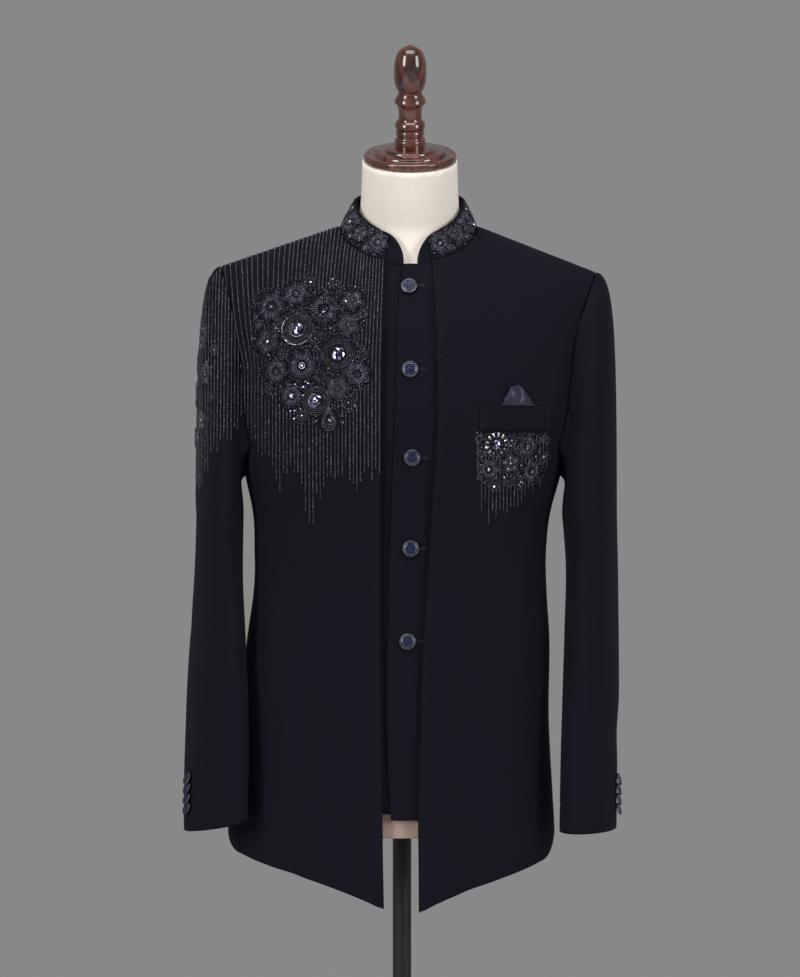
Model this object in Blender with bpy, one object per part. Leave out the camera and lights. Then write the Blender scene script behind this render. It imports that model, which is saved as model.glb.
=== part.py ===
"""Bandhgala jacket with an attached inner front, worn open on a limbless dress form.

World frame: metres, +Z up, the jacket faces -Y, the wearer's left is at +X.
The origin is on the floor, at the centre of the stand's round foot.
Lengths below are in millimetres and angles in degrees; MM turns them into metres.
"""

import math

import bmesh
import bpy
from mathutils import Matrix, Vector

MM = 0.001

# Cloth
CLOTH = 2.0             # wall of the outer jacket, suiting and its backing
INNER_CLOTH = 1.4       # wall of the inner front and its collar
SEAM_GAP = 0.3          # between two pieces that are sewn together

# Body of the jacket
CHEST_TOP = 1290.0      # heights above this are shaped by the shoulders
YOKE_RISE = 120.0       # levels from the chest top to the shoulder seam and neckline
TOP_LEVEL = CHEST_TOP + YOKE_RISE
UNDERARM = 1165.0
SCYE = 1195.0           # where the side panel's seams meet the armhole
BODY_POWER = 2.35       # squareness of a level section
SIDE_HEM = 744.0
BACK_HEM = 758.0

# Level sections: height, middle in X, half width, depth in front, depth behind
BODY_SECTIONS = [
    (660, -13.0, 191, 118, 126),
    (744, -12.7, 190, 117, 126),
    (883, -8.8, 179, 110, 122),
    (973, -4.5, 175.5, 104, 113),
    (1032, -2.2, 169.8, 101, 106),
    (1075, -2.0, 169, 102, 105),
    (1120, -0.5, 172, 107, 109),
    (1165, 1.0, 182.5, 114, 114),
    (1196, 2.5, 188, 117, 118),
    (1240, 4.0, 196, 118, 121),
    (1290, 5.0, 200, 112, 122),
]

# Side seams of the narrow side panels: height, turn from the front, turn from the back
SIDE_SEAMS = [
    (744, 70, 69),
    (1075, 71, 69),
    (1195, 74, 72.5),
]

# Armhole edge above the side panel: height, depth in front, depth behind
ARMHOLE_DEPTHS = [
    (1195, 52, 56),
    (1240, 50, 62),
    (1290, 46, 58),
]

# Neckline, a tilted oval, and the two shoulder points
NECK_MIDDLE_X = 7.5
NECK_HALF_WIDTH = 79.0
NECK_SIDE_Y = 2.0
NECK_SIDE_Z = 1455.0
NECK_FRONT_REACH, NECK_FRONT_DROP = 68.0, 47.5
NECK_BACK_REACH, NECK_BACK_RISE = 72.0, 17.0
NECK_TURN_FRONT, NECK_TURN_BACK = 38.0, 36.0
SHOULDER_POINT = {1: Vector((225, 2, 1401)), -1: Vector((-210, 2, 1408))}

# Outer front edges: height, X of the wearer's left edge, X of the wearer's right edge
FRONT_EDGES = [
    (672, 18.7, -20.0),
    (690, 18.6, -20.4),
    (737, 18.3, -21.3),
    (780, 18.0, -21.8),
    (878, 20.4, -23.0),
    (956, 23.0, -24.0),
    (1033, 28.0, -24.6),
    (1137, 34.0, -24.0),
    (1209, 39.2, -23.4),
    (1253, 39.8, -23.0),
    (1330, 38.0, -21.4),
    (1410, 34.2, -19.2),
]
# Hem of an outer front: height of its point, rise to the side, power of the rise
FRONT_HEM = {1: (673.5, 68.0, 0.85), -1: (678.0, 72.0, 0.90)}

# Inner fronts: height, X of the lap edge, X where the inner left ends under the outer left,
# X where the inner right ends on its own two sides
INNER_EDGES = [
    (778, -12.4, 108, 14, -104),
    (878, -17.2, 108, 10, -106),
    (1050, -15.4, 102, 10, -104),
    (1145, -11.4, 96, 12, -98),
    (1240, -7.6, 90, 16, -92),
    (1330, -5.6, 82, 19, -84),
    (1410, 1.2, 62, 18.4, -48),
]
INNER_HEM = {1: 778.0, -1: 785.0}
INNER_CLEAR = 0.9       # between the outer and the inner front
INNER_SINK = 3.0        # the inner front lies this much deeper at the centre line

# Soft folds of the body: turn, top level, bottom level, half width in degrees, depth
BODY_FOLDS = [
    (-48, 1010, 690, 7, -2.2),
    (40, 1000, 690, 8, -2.0),
    (128, 1020, 730, 9, -3.0),
    (-130, 1040, 730, 9, -3.0),
    (152, 980, 730, 8, -2.4),
    (-158, 960, 730, 8, -2.2),
    (60, 1130, 1020, 8, -1.6),
    (-60, 1130, 1030, 8, -1.6),
    (118, 1150, 1010, 9, -2.0),
    (-118, 1150, 1010, 9, -2.0),
]

# Sleeves: height, middle X, middle Y, half depth, half thickness, turn of the front inwards
SLEEVE_SECTIONS = {
    1: [
        (1120, 218, 4, 74, 31.5, 8),
        (1060, 220.5, 0, 70, 29, 12),
        (990, 219.5, -8, 66, 29, 16),
        (920, 218, -20, 61, 29, 20),
        (850, 215, -35, 57, 28.3, 23),
        (795, 213.2, -47, 53, 28.3, 25),
        (754, 212.2, -54, 50, 28.8, 26),
    ],
    -1: [
        (1120, -211.5, 4, 74, 27, 8),
        (1060, -212.7, 0, 70, 26, 13),
        (990, -213, -11, 66, 25, 22),
        (920, -212.4, -30, 61, 25, 30),
        (850, -212, -50, 57, 24, 36),
        (795, -212, -64, 53, 24.5, 39),
        (760, -211.6, -71, 50, 26, 40),
    ],
}
# How far a cuff's edge lies above its last section: the mean, and how much it slopes
CUFF_RISE = {1: (7.0, 0.0), -1: (8.0, 8.0)}
CUFF_SLOPE_PLACE = 35.0     # angle round the cuff where the edge is at its mean height
CAP_STEPS = [0.0, 0.07, 0.16, 0.28, 0.44, 0.62, 0.81]
# Soft dents of a sleeve: angle round it, height, half angle, half height, depth
SLEEVE_FOLDS = [
    (75, 1010, 38, 26, -3.2),
    (110, 952, 40, 24, -2.6),
    (35, 905, 34, 34, -2.0),
    (-80, 1035, 45, 30, -3.0),
    (60, 1100, 30, 42, -2.0),
    (-30, 870, 34, 40, -1.8),
]
ARMHOLE_POINTS = 18
ARMHOLE_GAP = 0.65      # a sleeve's edge to the body, across the deep crease there
FRONT_SLEEVE_SEAM, BACK_SLEEVE_SEAM = 6, 15     # places round the armhole

# Collars
COLLAR_TOP_HALF_WIDTH = 62.5
COLLAR_TOP_MIDDLE_X = 8.7
COLLAR_TOP_Y = -2.0
COLLAR_TOP_FRONT_REACH, COLLAR_TOP_BACK_REACH = 54.0, 61.0
COLLAR_TOP_Z = 1486.0
COLLAR_TOP_FRONT_DROP, COLLAR_TOP_BACK_RISE = 46.0, 18.0
COLLAR_ENDS = {1: 19.5, -1: -20.5}              # outer collar, turn round the neck
INNER_COLLAR_ENDS = {1: 7.4, -1: -4.2}
INNER_COLLAR_ROUND = 23.0                       # turn over which its ends round off
COLLAR_END_DROP, COLLAR_END_TURN = 0.13, 17.0   # the outer collar is lower towards its ends
COLLAR_SEAT = 0.9       # the collars stand this much above the neckline's edge

# Breast welt and pocket square on the outer left front
WELT_X0, WELT_X1 = 86.5, 165.5
WELT_Z0, WELT_Z1 = 1215.5, 1242.5
WELT_THICKNESS, WELT_LIFT = 1.9, 0.5
SQUARE_X0, SQUARE_X1 = 109.0, 151.0
SQUARE_HEIGHTS = [6, 17, 21, 23, 19, 13, 5]      # of its folded edge, across
SQUARE_PROUD = 4.5

# Buttons
# On the inner front: X, Z, height of the back above the cloth
FRONT_BUTTONS = [
    (7.9, 1380, 1.7),
    (8.9, 1284.3, 0.6),
    (11.4, 1184, 0.5),
    (9.8, 1082, 0.6),
    (6.3, 978, 0.6),
]
FRONT_BUTTON_RADIUS = 9.3
# Turned profile of a button: share of the radius, height above its back
BUTTON_PROFILE = [(0.80, 0.0), (0.98, 0.9), (1.0, 1.9), (0.90, 2.9), (0.74, 2.5), (0.0, 3.1)]
CUFF_BUTTON_RADIUS = 7.2
CUFF_BUTTON_PITCH = 11.0
CUFF_BUTTON_SCALE = 0.78                        # of the profile's heights
CUFF_BUTTON_TILT = 15.0
CUFF_BUTTON_LIFT = 0.5                          # of its lower edge above the cloth
CUFF_BUTTON_FIRST = {1: 783.0, -1: 786.0}       # height of the lowest one
CUFF_BUTTON_ANGLE = -22.0                       # round the sleeve, 0 is its outer side

# Set stones: X, Z, radius
STONES = {
    "stone_chest_upper": (-118.0, 1330.0, 7.5),
    "stone_chest_middle": (-72.0, 1301.0, 8.0),
    "stone_chest_lower": (-96.0, 1248.0, 7.0),
    "stone_pocket": (106.0, 1199.0, 5.5),
}
STONE_PROFILE = [(1.0, 0.0), (1.0, 0.16), (0.78, 0.34), (0.42, 0.42), (0.0, 0.44)]

# Dress form
FORM_BOTTOM = 757.0
FORM_LEVELS = [FORM_BOTTOM, 772.0, 830.0, 900.0, 960.0, 1010.0, 1060.0, 1110.0, 1150.0, SCYE]
FORM_INSET = 14.0            # below the chest, from the jacket's outside to the form
FORM_SHOULDER_INSET = 2.55   # where the jacket rests on it
FORM_NECK_INSET = 12.0
# Neck rings: half width, middle Y, middle Z, half depth, tilt
NECK_RINGS = [
    (61.5, 4.0, 1464.0, 54.5, 27),
    (58.5, 1.0, 1475.0, 56.0, 25),
    (57.3, -4.0, 1487.0, 57.5, 24),
    (56.2, -13.5, 1508.0, 57.0, 23),
    (55.6, -22.0, 1527.7, 56.5, 22),
]
NECK_X = 9.0

# Turned cap and finial, both on the neck's axis
CAP_SEAT = Vector((9.3, -22.0, 1528.0))
CAP_LEAN = 22.0
CAP_PROFILE = [
    (51.5, 0.0), (53.2, 1.4), (53.6, 4.2), (53.2, 7.2), (51.6, 8.6),
    (42.5, 8.8), (41.8, 11.2), (40.0, 12.2), (30.5, 12.4), (29.6, 14.6), (27.5, 15.4), (0.0, 15.6),
]
FINIAL_PROFILE = [
    (17.3, 0.0), (17.8, 5.0), (17.8, 9.0), (15.9, 12.5), (16.7, 17.5), (16.1, 21.0),
    (17.5, 25.0), (16.5, 29.5), (13.5, 33.5), (13.6, 43.5), (15.4, 49.0), (18.2, 54.0),
    (13.8, 63.0), (15.5, 68.0), (18.3, 76.5), (18.8, 90.0), (17.6, 101.5), (12.4, 113.0),
    (0.0, 119.5),
]

# Stand
POLE_RADIUS = 10.8
BASE_THICKNESS = 9.0
BASE_PROFILE = [(185.0, 0.0), (185.0, 7.0), (181.0, BASE_THICKNESS), (0.0, BASE_THICKNESS)]
SOCKET_PROFILE = [(11.2, 0.0), (24.0, 0.0), (24.0, 22.0), (21.0, 28.0), (11.2, 28.0)]


for old in list(bpy.data.objects):
    bpy.data.objects.remove(old, do_unlink=True)


def material(name, colour, roughness, metallic=0.0):
    """A plain Principled material in the piece's own colour."""
    made = bpy.data.materials.new(name)
    made.use_nodes = True
    shader = made.node_tree.nodes["Principled BSDF"]
    shader.inputs["Base Color"].default_value = (*colour, 1.0)
    shader.inputs["Roughness"].default_value = roughness
    shader.inputs["Metallic"].default_value = metallic
    return made


def smooth_rows(rows, key, column):
    """A column's value at a key, on a smooth curve through the rows of a table."""
    key = min(max(key, rows[0][0]), rows[-1][0])
    last = len(rows) - 1
    i = next((n for n in range(last) if key <= rows[n + 1][0]), last - 1)

    def slope(n):
        low, high = max(n - 1, 0), min(n + 1, last)
        return (rows[high][column] - rows[low][column]) / (rows[high][0] - rows[low][0])

    span = rows[i + 1][0] - rows[i][0]
    t = (key - rows[i][0]) / span
    start, end = rows[i][column], rows[i + 1][column]
    return (start * (1 + 2 * t) * (1 - t) ** 2 + end * (3 - 2 * t) * t * t
            + span * slope(i) * t * (1 - t) ** 2 - span * slope(i + 1) * t * t * (1 - t))


def bump(value):
    """A soft hill, 1 in the middle and 0 from -1 and +1 outwards."""
    return (1 + math.cos(math.pi * value)) / 2 if abs(value) < 1 else 0.0


def ease(value):
    """From 0 to 1 with soft ends."""
    value = min(max(value, 0.0), 1.0)
    return value * value * (3 - 2 * value)


# The body's surface


def body_ring(turn, height):
    """A point of the level section, turn being 0 in front and 90 at the wearer's left."""
    middle = smooth_rows(BODY_SECTIONS, height, 1)
    half = smooth_rows(BODY_SECTIONS, height, 2)
    sine, cosine = math.sin(math.radians(turn)), math.cos(math.radians(turn))
    depth = smooth_rows(BODY_SECTIONS, height, 3 if cosine > 0 else 4)
    roundness = (abs(sine) / half) ** BODY_POWER + (abs(cosine) / depth) ** BODY_POWER
    reach = roundness ** (-1 / BODY_POWER)
    for place, top, bottom, width, fold in BODY_FOLDS:
        away = (turn - place + 180) % 360 - 180
        rise = min(ease((top - height) / 90), ease((height - bottom + 90) / 90))
        reach += fold * bump(away / width) * rise
    return Vector((middle + reach * sine, -reach * cosine, height))


def neckline(around):
    """A point of the neckline, around being 0 in front and 180 at the back."""
    sine, cosine = math.sin(math.radians(around)), math.cos(math.radians(around))
    reach = NECK_FRONT_REACH if cosine > 0 else NECK_BACK_REACH
    rise = NECK_FRONT_DROP if cosine > 0 else NECK_BACK_RISE
    return Vector((NECK_MIDDLE_X + NECK_HALF_WIDTH * sine,
                   NECK_SIDE_Y - reach * cosine, NECK_SIDE_Z - rise * cosine))


def armhole_turn(height, behind=False):
    """Turn of the armhole's edge at a height, from the front, or from the back if behind."""
    height = min(height, CHEST_TOP)
    depth = smooth_rows(ARMHOLE_DEPTHS, height, 2 if behind else 1)
    full = smooth_rows(BODY_SECTIONS, height, 4 if behind else 3)
    half = smooth_rows(BODY_SECTIONS, height, 2)
    across = half * (1 - (depth / full) ** BODY_POWER) ** (1 / BODY_POWER)
    return math.degrees(math.atan2(across, depth))


ARM_TURN_FRONT = armhole_turn(CHEST_TOP)
ARM_TURN_BACK = armhole_turn(CHEST_TOP, behind=True)


def curve(start, a, b, end, t):
    """A point of a Bezier curve."""
    return start * (1 - t) ** 3 + a * 3 * t * (1 - t) ** 2 + b * 3 * t * t * (1 - t) + end * t ** 3


def torso(turn, level):
    """The jacket's outer surface: sections up to the chest, then curves to neck and shoulder."""
    if level <= CHEST_TOP:
        return body_ring(turn, level)
    turn = (turn + 180) % 360 - 180
    side = 1 if turn >= 0 else -1
    behind = abs(turn) > 90
    own = 180 - abs(turn) if behind else abs(turn)
    neck_turn = NECK_TURN_BACK if behind else NECK_TURN_FRONT
    arm_turn = ARM_TURN_BACK if behind else ARM_TURN_FRONT
    forward = -1 if behind else 1
    start = body_ring(turn, CHEST_TOP)
    up = (start - body_ring(turn, CHEST_TOP - 20)).normalized()

    neck_side = neckline(90 * side)
    seam = (SHOULDER_POINT[side] - neck_side).normalized()
    at_neck_side = (Vector((0, forward, 0)) - 0.5 * seam).normalized()
    if own <= neck_turn:
        share = own / neck_turn
        around = 90 * share
        end = neckline(side * (180 - around if behind else around))
        arrive = Vector((0, forward * (0.55 if behind else 0.42), 0.9)).lerp(at_neck_side, share)
        pull = 0.36
    else:
        share = (own - neck_turn) / (arm_turn - neck_turn)
        end = neck_side.lerp(SHOULDER_POINT[side], share)
        arrive = Vector((0, forward, 0)) - 0.5 * (1 - share) * seam
        pull = 0.36 - 0.06 * share
    arrive.normalize()
    length = (end - start).length
    a, b = start + up * length * 0.36, end - arrive * length * pull
    return curve(start, a, b, end, (level - CHEST_TOP) / YOKE_RISE)


def torso_normal(turn, level):
    """Outward direction of the jacket's surface."""
    across = torso(turn + 0.4, level) - torso(turn - 0.4, level)
    if abs(level - CHEST_TOP) < 0.6:
        level += 0.6
    upward = torso(turn, level + 0.5) - torso(turn, level - 0.5)
    return across.cross(upward).normalized()


def turn_at_x(x_of, level):
    """Turn of the point in front whose X is what x_of gives for its height."""
    low, high = -80.0, 80.0
    for _ in range(32):
        middle = (low + high) / 2
        point = torso(middle, level)
        if point.x < x_of(point.z):
            low = middle
        else:
            high = middle
    return (low + high) / 2


def torso_at(x, z):
    """Turn and level of the front point at this X and Z."""
    low, high = CHEST_TOP - 400, TOP_LEVEL
    for _ in range(32):
        level = (low + high) / 2
        turn = turn_at_x(lambda height: x, level)
        if torso(turn, level).z < z:
            low = level
        else:
            high = level
    return turn, level


# Meshes


def finish(name, bm, colour, smooth_angle=40):
    """Make the named object from a closed mesh in millimetres."""
    bmesh.ops.scale(bm, vec=(MM, MM, MM), verts=bm.verts)
    bmesh.ops.recalc_face_normals(bm, faces=bm.faces)
    mesh = bpy.data.meshes.new(name)
    bm.to_mesh(mesh)
    bm.free()
    mesh.materials.append(colour)
    mesh.shade_smooth()
    mesh.set_sharp_from_angle(angle=math.radians(smooth_angle))
    piece = bpy.data.objects.new(name, mesh)
    bpy.context.collection.objects.link(piece)
    return piece


def draw_in(points, sides):
    """Shorten a grid by half a seam's gap along the named sides: first, last, bottom, top."""
    rows, columns = len(points), len(points[0])
    moved = [[point.copy() for point in row] for row in points]
    for r in range(rows):
        for c in range(columns):
            inner_neighbours = (
                ("first", c == 0, r, 1), ("last", c == columns - 1, r, columns - 2),
                ("bottom", r == 0, 1, c), ("top", r == rows - 1, rows - 2, c),
            )
            for side, at_side, row, column in inner_neighbours:
                if side in sides and at_side:
                    towards = points[row][column] - points[r][c]
                    gap = ARMHOLE_GAP if side == "bottom" else SEAM_GAP * 0.6
                    moved[r][c] += towards.normalized() * gap
    return moved


def wall(name, points, normals, colour, thickness=CLOTH, lift=None, seams=()):
    """A cloth wall: a grid of points on its outside, and the same grid moved in by its thickness."""
    points = draw_in(points, seams)
    rows, columns = len(points), len(points[0])
    bm = bmesh.new()
    faces_of = []
    for depth in (0.0, thickness):
        grid = []
        for r in range(rows):
            line = []
            for c in range(columns):
                proud = lift(r, c) if lift else 0.0
                line.append(bm.verts.new(points[r][c] + normals[r][c] * (proud - depth)))
            grid.append(line)
        faces_of.append(grid)
    outside, inside = faces_of
    for grid in faces_of:
        for r in range(rows - 1):
            for c in range(columns - 1):
                bm.faces.new((grid[r][c], grid[r][c + 1], grid[r + 1][c + 1], grid[r + 1][c]))
    for r in range(rows - 1):
        for c in (0, columns - 1):
            bm.faces.new((outside[r][c], outside[r + 1][c], inside[r + 1][c], inside[r][c]))
    for c in range(columns - 1):
        for r in (0, rows - 1):
            bm.faces.new((outside[r][c], outside[r][c + 1], inside[r][c + 1], inside[r][c]))
    return finish(name, bm, colour)


def on_torso(places):
    """Points and normals of a grid of (turn, level) places."""
    points = [[torso(turn, level) for turn, level in row] for row in places]
    normals = [[torso_normal(turn, level) for turn, level in row] for row in places]
    return points, normals


def turned(name, profile, segments, colour, frame=Matrix.Identity(4), smooth_angle=40):
    """A solid of revolution about Z; a profile that ends on the axis is capped, others are tubes."""
    bm = bmesh.new()
    rings = []
    for radius, height in profile:
        if radius == 0:
            rings.append([bm.verts.new((0, 0, height))])
            continue
        angles = [math.tau * i / segments for i in range(segments)]
        rings.append([bm.verts.new((radius * math.cos(angle), radius * math.sin(angle), height))
                      for angle in angles])
    hollow = len(rings[-1]) > 1
    pairs = list(zip(rings, rings[1:]))
    if hollow:
        pairs.append((rings[-1], rings[0]))
    else:
        bm.faces.new(rings[0])
    for lower, upper in pairs:
        for i in range(segments):
            n = (i + 1) % segments
            if len(upper) == 1:
                bm.faces.new((lower[i], lower[n], upper[0]))
            else:
                bm.faces.new((lower[i], lower[n], upper[n], upper[i]))
    bmesh.ops.transform(bm, matrix=frame, verts=bm.verts)
    return finish(name, bm, colour, smooth_angle)


def seated(point, normal, up=Vector((0, 0, 1))):
    """Frame at a point whose Z is the normal and whose Y leans towards up."""
    side = up.cross(normal).normalized()
    rise = normal.cross(side)
    return Matrix.Translation(point) @ Matrix((side, rise, normal)).transposed().to_4x4()


# Body of the jacket

LOWER_ROWS = [0.0, 0.07, 0.2, 0.34, 0.48, 0.60, 0.70, 0.78, 0.86, 0.93, 1.0]
UPPER_LEVELS = [1240.0, CHEST_TOP] + [CHEST_TOP + YOKE_RISE * t for t in (0.2, 0.4, 0.6, 0.8, 1.0)]
FRONT_SHARES = [c / 11 for c in range(12)]      # columns of a front, from its edge to its seam
BACK_SHARES = [c / 9 for c in range(10)]
SIDE_COLUMNS = 4


def front_edge_turn(side, level):
    """Turn of an outer front's free edge."""
    column = 1 if side > 0 else 2
    return turn_at_x(lambda height: smooth_rows(FRONT_EDGES, height, column), level)


def front_hem(side, turn):
    """Height of an outer front's hem at a turn: a long point that rises to the side."""
    tip, rise, power = FRONT_HEM[side]
    start = front_edge_turn(side, tip) * side
    share = max(abs(turn) - start, 0.0) / (90 - start)
    return tip + rise * share ** power + 1.6 * bump(share / 0.05)


def outer_front(name, side, colour):
    """Outer front: free edge, hem, side seam and armhole, shoulder seam and neckline."""
    places = []
    for v in LOWER_ROWS:
        row = []
        for u in FRONT_SHARES:
            level = SCYE
            for _ in range(3):
                edge = front_edge_turn(side, level)
                seam = side * smooth_rows(SIDE_SEAMS, level, 1)
                turn = edge + (seam - edge) * u
                hem = front_hem(side, turn)
                level = hem + (SCYE - hem) * v
            row.append((turn, level))
        places.append(row)
    for level in UPPER_LEVELS:
        edge = front_edge_turn(side, level)
        seam = side * (armhole_turn(level) if level <= CHEST_TOP else ARM_TURN_FRONT)
        places.append([(edge + (seam - edge) * u, level) for u in FRONT_SHARES])
    points, normals = on_torso(places)
    return wall(name, points, normals, colour, seams=("last", "top"))


def back_panel(name, side, colour):
    """Back: centre back seam, hem, side seam and armhole, shoulder seam and neckline."""
    places = []
    for v in LOWER_ROWS:
        level = BACK_HEM + (SCYE - BACK_HEM) * v
        seam = smooth_rows(SIDE_SEAMS, level, 2)
        places.append([(side * (180 - seam * u), level) for u in BACK_SHARES])
    for level in UPPER_LEVELS:
        seam = armhole_turn(level, behind=True) if level <= CHEST_TOP else ARM_TURN_BACK
        places.append([(side * (180 - seam * u), level) for u in BACK_SHARES])
    points, normals = on_torso(places)
    return wall(name, points, normals, colour, seams=("first", "last", "top"))


def underarm_level(share):
    """Height of the armhole's low curve across the side panel."""
    return SCYE - (SCYE - UNDERARM) * math.sin(math.pi * share)


def side_panel(name, side, colour):
    """Side panel: hem, two side seams and the low curve of the armhole."""
    places = []
    for v in LOWER_ROWS:
        row = []
        for c in range(SIDE_COLUMNS + 1):
            share = c / SIDE_COLUMNS
            front_turn = smooth_rows(SIDE_SEAMS, SIDE_HEM, 1)
            behind = ease(2 * share)
            hem = front_hem(side, front_turn) * (1 - behind) + BACK_HEM * behind
            level = hem + (underarm_level(share) - hem) * v
            front_turn = smooth_rows(SIDE_SEAMS, level, 1)
            back_turn = 180 - smooth_rows(SIDE_SEAMS, level, 2)
            row.append((side * (front_turn + (back_turn - front_turn) * share), level))
        places.append(row)
    points, normals = on_torso(places)
    return wall(name, points, normals, colour, seams=("first", "last", "top"))


def inner_front(name, side, colour):
    """Inner front: lap edge, hem, the edge sewn inside the outer front, and neckline."""
    columns = 7
    places, sinks = [], []
    start_column, end_column = (1, 2) if side > 0 else (3, 4)
    levels = [INNER_HEM[side] + (SCYE - INNER_HEM[side]) * v for v in LOWER_ROWS] + UPPER_LEVELS
    for level in levels:
        first = turn_at_x(lambda height: smooth_rows(INNER_EDGES, height, start_column), level)
        last = turn_at_x(lambda height: smooth_rows(INNER_EDGES, height, end_column), level)
        row, depths = [], []
        for c in range(columns):
            turn = first + (last - first) * c / (columns - 1)
            point = torso(turn, level)
            away = abs(point.x - NECK_MIDDLE_X)
            sink = INNER_SINK * (1 - ease((away - 18) / 60)) * ease((TOP_LEVEL - level) / 60)
            if side < 0:
                lap_edge = smooth_rows(INNER_EDGES, point.z, 1)
                sink += (INNER_CLOTH + INNER_CLEAR) * (1 - ease((lap_edge - 16 - point.x) / 26))
            row.append((turn, level))
            depths.append(-(CLOTH + INNER_CLEAR + sink))
        places.append(row)
        sinks.append(depths)
    points, normals = on_torso(places)
    return wall(name, points, normals, colour, INNER_CLOTH, lambda r, c: sinks[r][c], seams=("top",))


# Sleeves


def armhole(side):
    """Points round the armhole: shoulder point, down the front, under the arm and up the back."""
    front_levels = UPPER_LEVELS[::-1] + [SCYE]
    loop = []
    for level in front_levels:
        turn = armhole_turn(level) if level <= CHEST_TOP else ARM_TURN_FRONT
        loop.append(torso(side * turn, level))
    for c in range(1, SIDE_COLUMNS):
        share = c / SIDE_COLUMNS
        level = underarm_level(share)
        front_turn = smooth_rows(SIDE_SEAMS, level, 1)
        back_turn = 180 - smooth_rows(SIDE_SEAMS, level, 2)
        loop.append(torso(side * (front_turn + (back_turn - front_turn) * share), level))
    for level in [SCYE] + UPPER_LEVELS[:-1]:
        turn = armhole_turn(level, behind=True) if level <= CHEST_TOP else ARM_TURN_BACK
        loop.append(torso(side * (180 - turn), level))
    return loop


def sleeve_ring(side, angle, height):
    """A point of the sleeve below its cap, the angle being 0 outside and 90 in front."""
    rows = SLEEVE_SECTIONS[side][::-1]
    x, y, deep, thick, yaw = (smooth_rows(rows, height, column) for column in range(1, 6))
    for place, level, width, tall, fold in SLEEVE_FOLDS:
        away = (angle - place + 180) % 360 - 180
        dent = fold * bump(away / width) * bump((height - level) / tall)
        deep, thick = deep + dent, thick + dent * 0.8
    yaw = math.radians(yaw)
    outward = Vector((side * math.cos(yaw), -math.sin(yaw), 0))
    forward = Vector((-side * math.sin(yaw), -math.cos(yaw), 0))
    across = thick * math.cos(math.radians(angle))
    along = deep * math.sin(math.radians(angle))
    return Vector((x, y, height)) + outward * across + forward * along


def cuff_edge(side, angle):
    """A point of the cuff's edge, which is cut square to the forearm."""
    mean, slope = CUFF_RISE[side]
    rise = mean + slope * math.sin(math.radians(angle - CUFF_SLOPE_PLACE))
    return sleeve_ring(side, angle, SLEEVE_SECTIONS[side][-1][0] + rise)


def sleeve_grid(side):
    """Whole sleeve, row by row from the armhole to the cuff, with its outward normals."""
    loop = armhole(side)
    sections = SLEEVE_SECTIONS[side]
    top = sections[0][0]
    rows = []
    for t in CAP_STEPS:
        row = []
        for i, start in enumerate(loop):
            angle = 360 * i / ARMHOLE_POINTS
            sine, cosine = math.sin(math.radians(angle)), math.cos(math.radians(angle))
            end = sleeve_ring(side, angle, top)
            low = (1 - cosine) / 2
            out = Vector((side, -0.55 * sine, -0.06 - 0.6 * low)).normalized()
            reach = 24 - 12 * low
            a = start + out * reach
            b = end + Vector((0, 0, 0.7 * (start.z - end.z)))
            row.append(curve(start, a, b, end, t))
        rows.append(row)
    for height, *_ in sections[:-1]:
        rows.append([sleeve_ring(side, 360 * i / ARMHOLE_POINTS, height) for i in range(ARMHOLE_POINTS)])
    rows.append([cuff_edge(side, 360 * i / ARMHOLE_POINTS) for i in range(ARMHOLE_POINTS)])
    normals = []
    for r, row in enumerate(rows):
        line = []
        for i in range(ARMHOLE_POINTS):
            around = row[(i + 1) % ARMHOLE_POINTS] - row[i - 1]
            down = rows[min(r + 1, len(rows) - 1)][i] - rows[max(r - 1, 0)][i]
            line.append((around.cross(down) * side).normalized())
        normals.append(line)
    return rows, normals


def sleeve_half(name, side, first, last, colour):
    """The part of a sleeve between two places round the armhole."""
    rows, normals = sleeve_grid(side)
    picks = [i % ARMHOLE_POINTS for i in range(first, last + 1)]
    points = [[row[i] for i in picks] for row in rows]
    directions = [[row[i] for i in picks] for row in normals]
    return wall(name, points, directions, colour, seams=("first", "last", "bottom"))


# Collars


def collar_top(around):
    """A point of the collar's upper edge."""
    sine, cosine = math.sin(math.radians(around)), math.cos(math.radians(around))
    front = cosine > 0
    reach = COLLAR_TOP_FRONT_REACH if front else COLLAR_TOP_BACK_REACH
    rise = COLLAR_TOP_FRONT_DROP if front else COLLAR_TOP_BACK_RISE
    return Vector((COLLAR_TOP_MIDDLE_X + COLLAR_TOP_HALF_WIDTH * sine,
                   COLLAR_TOP_Y - reach * cosine, COLLAR_TOP_Z - rise * cosine))


def collar_surface(around, share):
    """Outer surface of the stand collar, share being 0 at the neckline; it curves in a little."""
    low, high = neckline(around), collar_top(around)
    middle = low.lerp(high, 0.5)
    outward = Vector((math.sin(math.radians(around)), -math.cos(math.radians(around)), 0))
    middle += outward * -1.2
    return low * (1 - share) ** 2 + middle * 2 * share * (1 - share) + high * share ** 2


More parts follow.
